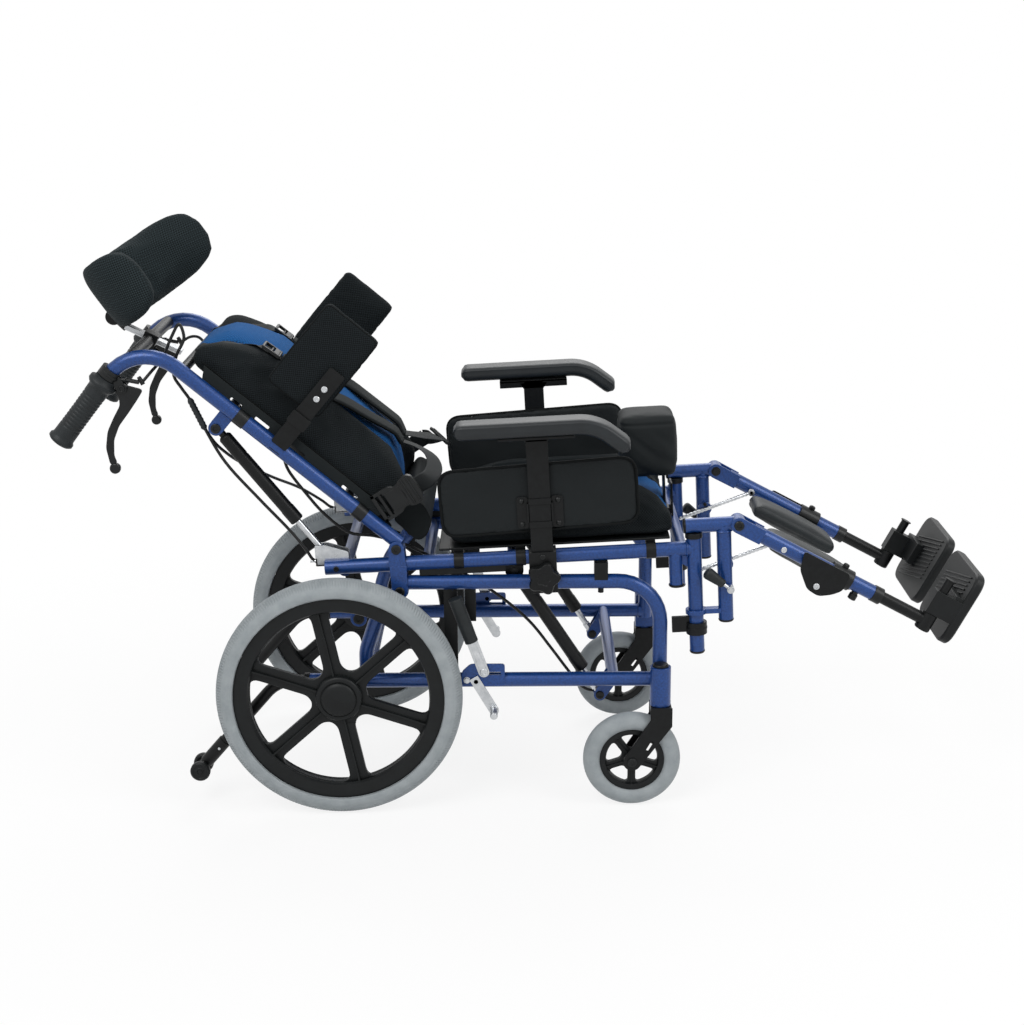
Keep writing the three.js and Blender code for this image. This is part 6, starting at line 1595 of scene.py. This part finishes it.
def makeHeadrest():
    spec = headrestPad
    lean = Matrix.Translation((spec["centre"][0], 0, spec["centre"][1])) @ turnY(spec["lean"])
    rings = []
    for i in range(61):
        share = -1 + 2 * i / 60
        point = headrestPlace(share)
        ahead, behind = headrestPlace(min(1, share + 1e-3)), headrestPlace(max(-1, share - 1e-3))
        along = (ahead - behind).normalized()
        outward = Vector((along.y, -along.x))
        size = 0.25 + 0.75 * math.sqrt(max(0.0, 1 - abs(share) ** 8))
        ring = []
        for j in range(28):
            angle = 2 * math.pi * j / 28
            across = math.copysign(abs(math.cos(angle)) ** 0.55, math.cos(angle)) * spec["thick"] / 2 * size
            up = math.copysign(abs(math.sin(angle)) ** 0.62, math.sin(angle)) * spec["height"] / 2 * size
            ring.append(lean @ Vector((point.x + outward.x * across, point.y + outward.y * across, up)))
        rings.append(ring)
    piece = build("headrestPad", [skin(rings)], backFrame)
    puff(piece, spec["voxel"], 4, spec["cap"])

    def depth(point):
        local = lean.inverted() @ point
        seamAt = 66 + 0.18 * local.z
        crease = groove(abs(abs(local.y) - seamAt), 3.0, 4.2)
        dimple = 0.9 * noise.noise(Vector((local.x / 30, local.y / 30, local.z / 30)))
        return crease + dimple

    press(piece, backFrame, depth)
    tree = surfaceOf(piece)
    seams = []
    for sign in (1, -1):
        for way, start in (((-1, 0, 0), 150), ((1, 0, 0), -120)):
            marks = [lean @ Vector((start, sign * (66 + 0.18 * z), z)) for z in range(-44, 46, 3)]
            direction = (lean.to_3x3() @ Vector(way)).normalized()
            places = layOn(tree, backFrame, marks, tuple(direction), -0.3, 0)
            hits = [place[0] for place, mark in zip(places, marks) if 8 < (place[0] - mark).length < 230]
            seams.append(tube(hits, 1.3, 0, 8))
    dress(piece, "headrest", meshHead, ["headrest_pad"])
    make("headrestSeams", "headrest", seams, backFrame, piping, edge=0)
    shell = [knob([(0, 0), (16, 0), (18, 2), (18, 6), (0, 8)], (-19, 0, 588), (1, 0, 0.28), 40)]
    make("headrestShell", "headrest", shell, backFrame, blackLacquer, edge=0.4)


thighBlock = {"size": (106, 96, 94), "round": 14, "centre": (419, 0, 181), "voxel": 5, "cap": 6}


def makeThighBlock():
    spec = thighBlock
    stand = Matrix.Translation(spec["centre"]) @ swapXZ
    piece = blankPad(spec["size"], spec["round"], stand, seatFrame, "thighBlock", None, 20)
    puff(piece, spec["voxel"], 4, spec["cap"])

    def depth(point):
        fold = 2.6 * max(0, noise.noise(Vector((point.x / 22 + point.z / 24, point.y / 30, point.z / 60))))
        welt = groove(point.z - 219, 2.2, 1.8)
        return fold * min(1, max(0, (222 - point.z) / 30)) + welt

    press(piece, seatFrame, depth)
    dress(piece, "seat", nylonCloth, ["thigh_block"])
    bracket = [block((443, -18, 52.8), (446, 18, 134)), block((455, -18, 52.8), (458, 18, 110)),
               crossRod(450.5, 60, -14, 14, 6, 24)]
    make("thighBracket", "seat", bracket, seatFrame, blackLacquer, edge=0.6)


calfPad = {"size": (160, 84, 22), "round": 8, "centre": (152, -106, -13), "voxel": 4, "cap": 5}


def makeCalfPads():
    spec = calfPad
    piece = blankPad(spec["size"], spec["round"], Matrix.Translation(spec["centre"]), legFrame, "calfPad.right",
                     lambda a, b: 5 * (1 - a ** 4) * (1 - b ** 4), 24)
    puff(piece, spec["voxel"], 4, spec["cap"])

    def depth(point):
        crease = groove(point.z + 17, 1.8, 1.2)
        return crease + 0.6 * noise.noise(Vector((point.x / 22, point.y / 22, point.z / 22)))

    press(piece, legFrame, depth)
    arm = [block((180, 106, -24.2), (200, side, -15)), tube([(171, side, 0), (209, side, 0)], 17, count=36),
           knob([(0, 0), (6, 0), (6, 5), (4, 7), (0, 7)], (190, side, 16.2), (0, 0, 1), 6)]
    for name, pad in (("right", piece), ("left", mirrored(piece, "calfPad.left"))):
        dress(pad, f"calf_pad_{name}", upholsteryVinyl, [f"calf_pad_{name}"])
    makePair("calfArm", "calf_pad_{}", arm, legFrame, acetal, edge=0.8)


sidePanel = {"outline": (70, 394, 88, 206), "rise": 0.03, "corner": 26, "y": 200.4, "voxel": 4, "cap": 5}


def makeSidePanels():
    spec = sidePanel
    rear, front, low, top = spec["outline"]
    outline = roundOutline(oblong(rear + 4, low + 4, front - 4, top - 4), spec["corner"], 8)
    middle = Vector(((rear + front) / 2, (top + low) / 2))
    toMiddle = Matrix.Translation((middle.x, 0, middle.y))
    panelFrame = seatFrame @ (toMiddle @ Matrix.Rotation(-spec["rise"], 4, "Y") @ toMiddle.inverted())
    rings = []
    for share, y in ((0.3, 194.6), (0.75, 194.6), (0.94, 195), (1, 198), (1, 203), (0.94, 206), (0.75, 206.2),
                     (0.3, 206.2)):
        rings.append([Vector((middle.x + (x - middle.x) * share, -y, middle.y + (z - middle.y) * share))
                      for x, z in outline])
    near = build("sidePanel.right", [skin(rings)], panelFrame)
    back = panelFrame.inverted()
    puff(near, spec["voxel"], 3, spec["cap"], lambda point: abs(abs((back @ point).y) - spec["y"]) > 5.4)

    def depth(point):
        edge = min(point.x - rear, front - point.x, point.z - low, top - point.z)
        pucker = max(0, noise.noise(Vector((point.x / 7, point.z / 7, 2))))
        puckers = 1.6 * pucker * math.exp(-max(0, edge - 8) / 10)
        sag = 1.4 * noise.noise(Vector((point.x / 48, point.z / 34, 5)))
        return (puckers + sag + 0.6) if edge > 4 else 0

    press(near, panelFrame, depth)
    holdInside(near, panelFrame, low=(-900, -206.6, -900), high=(900, -194.2, 900))
    inset = 5.2
    rim = roundOutline(oblong(rear + inset, low + inset, front - inset, top - inset), spec["corner"], 8)
    ring = [Vector((x, 203.4, z)) for x, z in rim]
    pipe = tube(ring + ring[:2], 2.4, 0, 10)
    x = seatSpec["armX"]
    clamp, rivets = [], []
    for turn in (1, -1):
        clamp += [plate(roundOutline(oblong(x + turn * 18, 98, x + turn * 37, 150), 6), 206.8, 208.8),
                  plate(oblong(x + turn * 18, 108, x + turn * 21, 140), 206.8, 215.6)]
        for z in (105, 143):
            rivets.append(knob([(0, -1), (4.4, -1), (4.4, 0.4), (3.6, 1.8), (0, 2.4)],
                               (x + turn * 29, 208.8, z), (0, 1, 0), 24))
    clamp.append(block((x - 18, 215.4, 100), (x + 18, 217.2, 110)))
    clamp.append(block((x - 18, 215.4, 138), (x + 18, 217.2, 148)))
    for name, panel in (("right", near), ("left", mirrored(near, "sidePanel.left"))):
        dress(panel, f"armrest_{name}", nylonCloth, [f"side_panel_{name}"])
    makePair("panelPiping", "armrest_{}", [pipe], panelFrame, piping, edge=0)
    makePair("panelClamp", "armrest_{}", clamp, seatFrame, blackLacquer)
    makePair("panelRivets", "armrest_{}", rivets, seatFrame, acetal, edge=0)


# Harness: shoulder straps with their adjusters and pads, and the waist belt with its buckle

harness = {
    "strapY": 82, "webbing": 30, "thick": 1.8, "overTop": (-35, 62), "strapEnd": 250, "ladder": 349,
    "padLine": [(0, 78, 330), (0, 78, 285), (0, 74, 235), (0, 62, 180), (0, 46, 130), (0, 31, 88)],
    "padWide": 54, "padThick": 8,
    "beltLine": [(108, 29, 92), (120, 40, 66), (129, 66, 42), (127, 104, 28), (116, 146, 28), (101, 170, 37),
                 (96, 178, 40)],
    "tailLine": [(30, -180, 63), (22, -171, 58), (16, -160, 46), (15, -132, 40)],
    "farLine": [(96, 178, 40), (70, 178.6, 48), (40, 178, 56), (24, 170, 56), (16, 160, 46), (15, 132, 40)],
    "buckle": (66, 50, -18, 180),
}


def placed(shapes, origin, across, up):
    # shapes drawn with x across, y up and z along, set down at origin
    across, up = Vector(across).normalized(), Vector(up).normalized()
    along = across.cross(up).normalized()
    return [([origin + across * p[0] + up * p[1] + along * p[2] for p in points], faces)
            for points, faces in shapes]


def ladderLock(width):
    # a two slot adjuster: side rails with three bars, the middle one lower
    half = width / 2 + 4
    shapes = [block((s * half - 2.2, 0, -16), (s * half + 2.2, 5, 16)) for s in (1, -1)]
    shapes += [rod((-half, 2.6, z), (half, 2.6, z), 2.6, 16) for z in (-15, 15)]
    shapes.append(rod((-half, 1.6, 0), (half, 1.6, 0), 2.2, 16))
    shapes.append(block((-half, 3, 4), (half, 5.4, 13)))
    return shapes


def buckleShapes():
    # a side release buckle, a along its length and b across; the slotted end and the two ridged end bars show
    n, s, turn, y = harness["buckle"]
    angle = math.radians(turn)
    spot = lambda a, b: (n + a * math.cos(angle) - b * math.sin(angle),
                         s + a * math.sin(angle) + b * math.cos(angle))
    flat = lambda outline, half: plate([spot(a, b) for a, b in outline], y - half, y + half)
    box = lambda a0, a1, b0, b1, half: flat(roundOutline(oblong(a0, b0, a1, b1), 1.6, 3), half)
    shapes = [box(-38, -32, -25, 25, 4.2), box(-27, -22, -22, 22, 3.2), box(-17, 12, -16, 16, 4.6)]
    for edge in (1, -1):
        shapes.append(box(-38, -17, 19.5 * edge if edge > 0 else -25, 25 if edge > 0 else -19.5, 4.2))
        prong = [(-19, 25 * edge), (-6, 24 * edge), (2, 19 * edge), (12, 20 * edge), (12, 15 * edge),
                 (-2, 13 * edge), (-19, 15 * edge)]
        shapes.append(flat(roundOutline(prong, 2, 3), 4.0))
    shell = [(10, -22), (20, -25.5), (30, -25.5), (37, -20), (38, 0), (37, 20), (30, 25.5), (20, 25.5),
             (10, 22), (13, 0)]
    shapes.append(flat(roundOutline(shell, 4, 5), 5.4))
    for a in (19, 29):
        start, end = spot(a, -22), spot(a, 22)
        shapes.append(rod((start[0], y + 4.8, start[1]), (end[0], y + 4.8, end[1]), 2.2, 14))
    return shapes


def makeHarness(tree):
    spec = harness
    for name, sign in sides:
        y = spec["strapY"] * sign
        places = []
        low, high = spec["overTop"]
        for step in range(15):
            angle = math.radians(low + (high - low) * step / 14)
            out = Vector((math.sin(angle), 0, math.cos(angle)))
            places += layOn(tree, backFrame, [(48, y, 396)], tuple(-out), 1.3)
        top, count = places[-1][0].z - 5, 34
        down = [(60, y, top - (top - spec["strapEnd"]) * i / count) for i in range(count + 1)]
        places += layOn(tree, backFrame, down, (-1, 0, 0), 1.3)
        strap = [band(places, spec["webbing"], spec["thick"])]
        bite = min(places, key=lambda place: abs(place[0].z - spec["ladder"]))
        lock = placed(ladderLock(spec["webbing"]), bite[0] + bite[1] * 0.8, (0, 1, 0), bite[1])
        line = even([(x, py * sign, z) for x, py, z in spec["padLine"]], 5)
        onPad = layOn(tree, backFrame, [(60, p.y, p.z) for p in line], (-1, 0, 0), 0)
        lifted = []
        for i, (point, _) in enumerate(onPad):
            share = i / (len(onPad) - 1)
            lifted.append((point + Vector((1, 0, 0)) * (5.5 + 10 * share ** 2), Vector((1, 0, 0))))

        def wide(share):
            narrows = 1 if share < 0.45 else 1 - 0.55 * ((share - 0.45) / 0.55) ** 1.2
            return spec["webbing"] + (spec["padWide"] - spec["webbing"]) * min(1, share / 0.3) * narrows

        pad = [band(lifted, 0, spec["padThick"], (0, 1, 0), wide)]
        rims = []
        for edge in (1, -1):
            rim = [point + Vector((0, edge * wide(i / (len(lifted) - 1)) / 2, 0))
                   for i, (point, _) in enumerate(lifted)]
            rims.append(tube(rim[::2] + [rim[-1]], 1.6, 0, 8))
        belt = even([(x, py * sign, z) for x, py, z in spec["beltLine"]], 4)
        facing, outward = Vector((1, 0.0, 0.25)).normalized(), Vector((0, sign, 0))
        turns = [max(0.0, min(1.0, (abs(point.y) - 120) / 50)) for point in belt]
        loop = [band([(point, facing.lerp(outward, turn).normalized()) for point, turn in zip(belt, turns)], 28,
                     2.2)]
        make(f"shoulderStrap.{name}", "back", strap, backFrame, webbing, edge=0)
        make(f"strapLock.{name}", "back", lock, backFrame, acetal, edge=0.5)
        make(f"shoulderPad.{name}", "back", pad, backFrame, clothStrap, edge=0)
        make(f"padBinding.{name}", "back", rims, backFrame, piping, edge=0)
        flatten(make(f"beltWebbing.{name}", "back", loop, backFrame, webbing, edge=0))
    tail = even(spec["tailLine"], 3)
    ends = [band([(p, Vector((0, -1, 0)) if p.y < -172 else Vector((0.6, -0.8, 0))) for p in tail], 38, 2)]
    make("beltTail.right", "back", ends, backFrame, webbing, edge=0)
    farTail = even(spec["farLine"], 3)
    ends = [band([(p, Vector((0, 1, 0)) if p.y > 172 else Vector((0.6, 0.8, 0))) for p in farTail], 28, 2)]
    make("beltTail.left", "back", ends, backFrame, webbing, edge=0)
    near = [([Vector((p[0], -p[1], p[2])) for p in points], faces) for points, faces in buckleShapes()]
    make("beltBuckle", "back", near, backFrame, acetal, edge=0.9)
    slide = placed(ladderLock(28), Vector((126, 108, 27)), (0, 0.35, 1), (1, 0.2, 0.2))
    flatten(make("beltSlide", "back", slide, backFrame, acetal, edge=0.5))


def flatten(piece):
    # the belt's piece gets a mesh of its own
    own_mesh(piece)


makeCables()
makeSeatCushion()
backSurface = makeBackCushion()
makeLateralPads()
makeHeadrest()
makeThighBlock()
makeCalfPads()
makeSidePanels()
makeHarness(backSurface)
print("soft goods and harness made")


# Floor, light and camera

studio = {
    "floor": 14.0, "lens": 66.236, "sensor": 36.0, "place": (-0.009658, -3.0987, 1.2882),
    "azimuth": 0.1532, "elevation": 15.2237, "roll": -0.4134,
    "lamps": (((-1.6, -2.6, 3.4), 2.4, 78), ((2.6, -1.6, 2.6), 2.0, 44), ((0.3, 2.8, 3.0), 2.6, 58)),
    "world": 0.45, "white": 0.84, "fade": (0.6, 1.6),
}


def makeFloor():
    half = studio["floor"] / 2
    mesh = bpy.data.meshes.new("floor")
    mesh.from_pydata([(-half, -half, 0), (half, -half, 0), (half, half, 0), (-half, half, 0)], [],
                     [(0, 1, 2, 3)])
    floor = bpy.data.objects.new("floor", mesh)
    bpy.context.collection.objects.link(floor)
    material = bpy.data.materials.new("paleFloor")
    material.use_nodes = True
    tree = material.node_tree
    tree.nodes.clear()
    # seen straight or in a reflection, the floor is white with the object's shadow left in it
    matt = addNode(tree, "BsdfDiffuse", {"Color": (0.9, 0.9, 0.9, 1)})
    white = addNode(tree, "Emission", {"Color": (1, 1, 1, 1), "Strength": 1.0})
    seen = seenRay(tree)
    place = addNode(tree, "TexCoord", {})
    away = addNode(tree, "VectorMath", {"operation": "LENGTH"}, [(0, place.outputs["Object"])])
    near, far = studio["fade"]
    fade = addNode(tree, "MapRange", {"From Min": near, "From Max": far, "To Min": studio["white"],
                                      "To Max": 1.0},
                   [("Value", away.outputs["Value"])])
    share = addNode(tree, "Math", {"operation": "MULTIPLY"}, [(0, seen), (1, fade.outputs["Result"])])
    mixed = addNode(tree, "MixShader", {}, [(0, share.outputs[0]), (1, matt.outputs[0]), (2, white.outputs[0])])
    end = addNode(tree, "OutputMaterial", {}, [("Surface", mixed.outputs[0])])
    end.is_active_output = True
    mesh.materials.append(material)


def seenRay(tree):
    path = addNode(tree, "LightPath", {})
    some = addNode(tree, "Math", {"operation": "MAXIMUM"},
                   [(0, path.outputs["Is Camera Ray"]), (1, path.outputs["Is Glossy Ray"])])
    any3 = addNode(tree, "Math", {"operation": "MAXIMUM"},
                   [(0, some.outputs["Value"]), (1, path.outputs["Is Transmission Ray"])])
    return any3.outputs["Value"]


def makeWorld():
    world = bpy.data.worlds.new("studioWorld")
    world.use_nodes = True
    tree = world.node_tree
    tree.nodes.clear()
    soft = addNode(tree, "Background", {"Color": (1, 1, 1, 1), "Strength": studio["world"]})
    white = addNode(tree, "Background", {"Color": (1, 1, 1, 1), "Strength": 1.0})
    mixed = addNode(tree, "MixShader", {}, [(0, seenRay(tree)), (1, soft.outputs[0]), (2, white.outputs[0])])
    addNode(tree, "OutputWorld", {}, [("Surface", mixed.outputs[0])])
    bpy.context.scene.world = world


def makeLamps():
    for number, (place, size, power) in enumerate(studio["lamps"]):
        light = bpy.data.lights.new(f"lamp{number}", "AREA")
        light.shape = "DISK"
        light.size = size
        light.energy = power
        lamp = bpy.data.objects.new(f"lamp{number}", light)
        lamp.location = place
        lamp.rotation_euler = (Vector((0, 0, 0.45)) - Vector(place)).to_track_quat("-Z", "Y").to_euler()
        bpy.context.collection.objects.link(lamp)


def makeCamera():
    camera = bpy.data.cameras.new("camera")
    camera.lens, camera.sensor_width = studio["lens"], studio["sensor"]
    camera.clip_start, camera.clip_end = 0.05, 60
    piece = bpy.data.objects.new("camera", camera)
    bpy.context.collection.objects.link(piece)
    azimuth, elevation, roll = (math.radians(studio[key]) for key in ("azimuth", "elevation", "roll"))
    behind = Vector((math.sin(azimuth) * math.cos(elevation), -math.cos(azimuth) * math.cos(elevation),
                     math.sin(elevation)))
    right = (-behind).cross(Vector((0, 0, 1))).normalized()
    above = right.cross(-behind)
    turned = right * math.cos(roll) + above * math.sin(roll)
    raised = above * math.cos(roll) - right * math.sin(roll)
    matrix = Matrix((turned, raised, behind)).transposed().to_4x4()
    matrix.translation = Vector(studio["place"])
    piece.matrix_world = matrix
    bpy.context.scene.camera = piece


makeFloor()
makeWorld()
makeLamps()
makeCamera()
bpy.context.scene.view_settings.view_transform = "Standard"
bpy.context.view_layer.update()
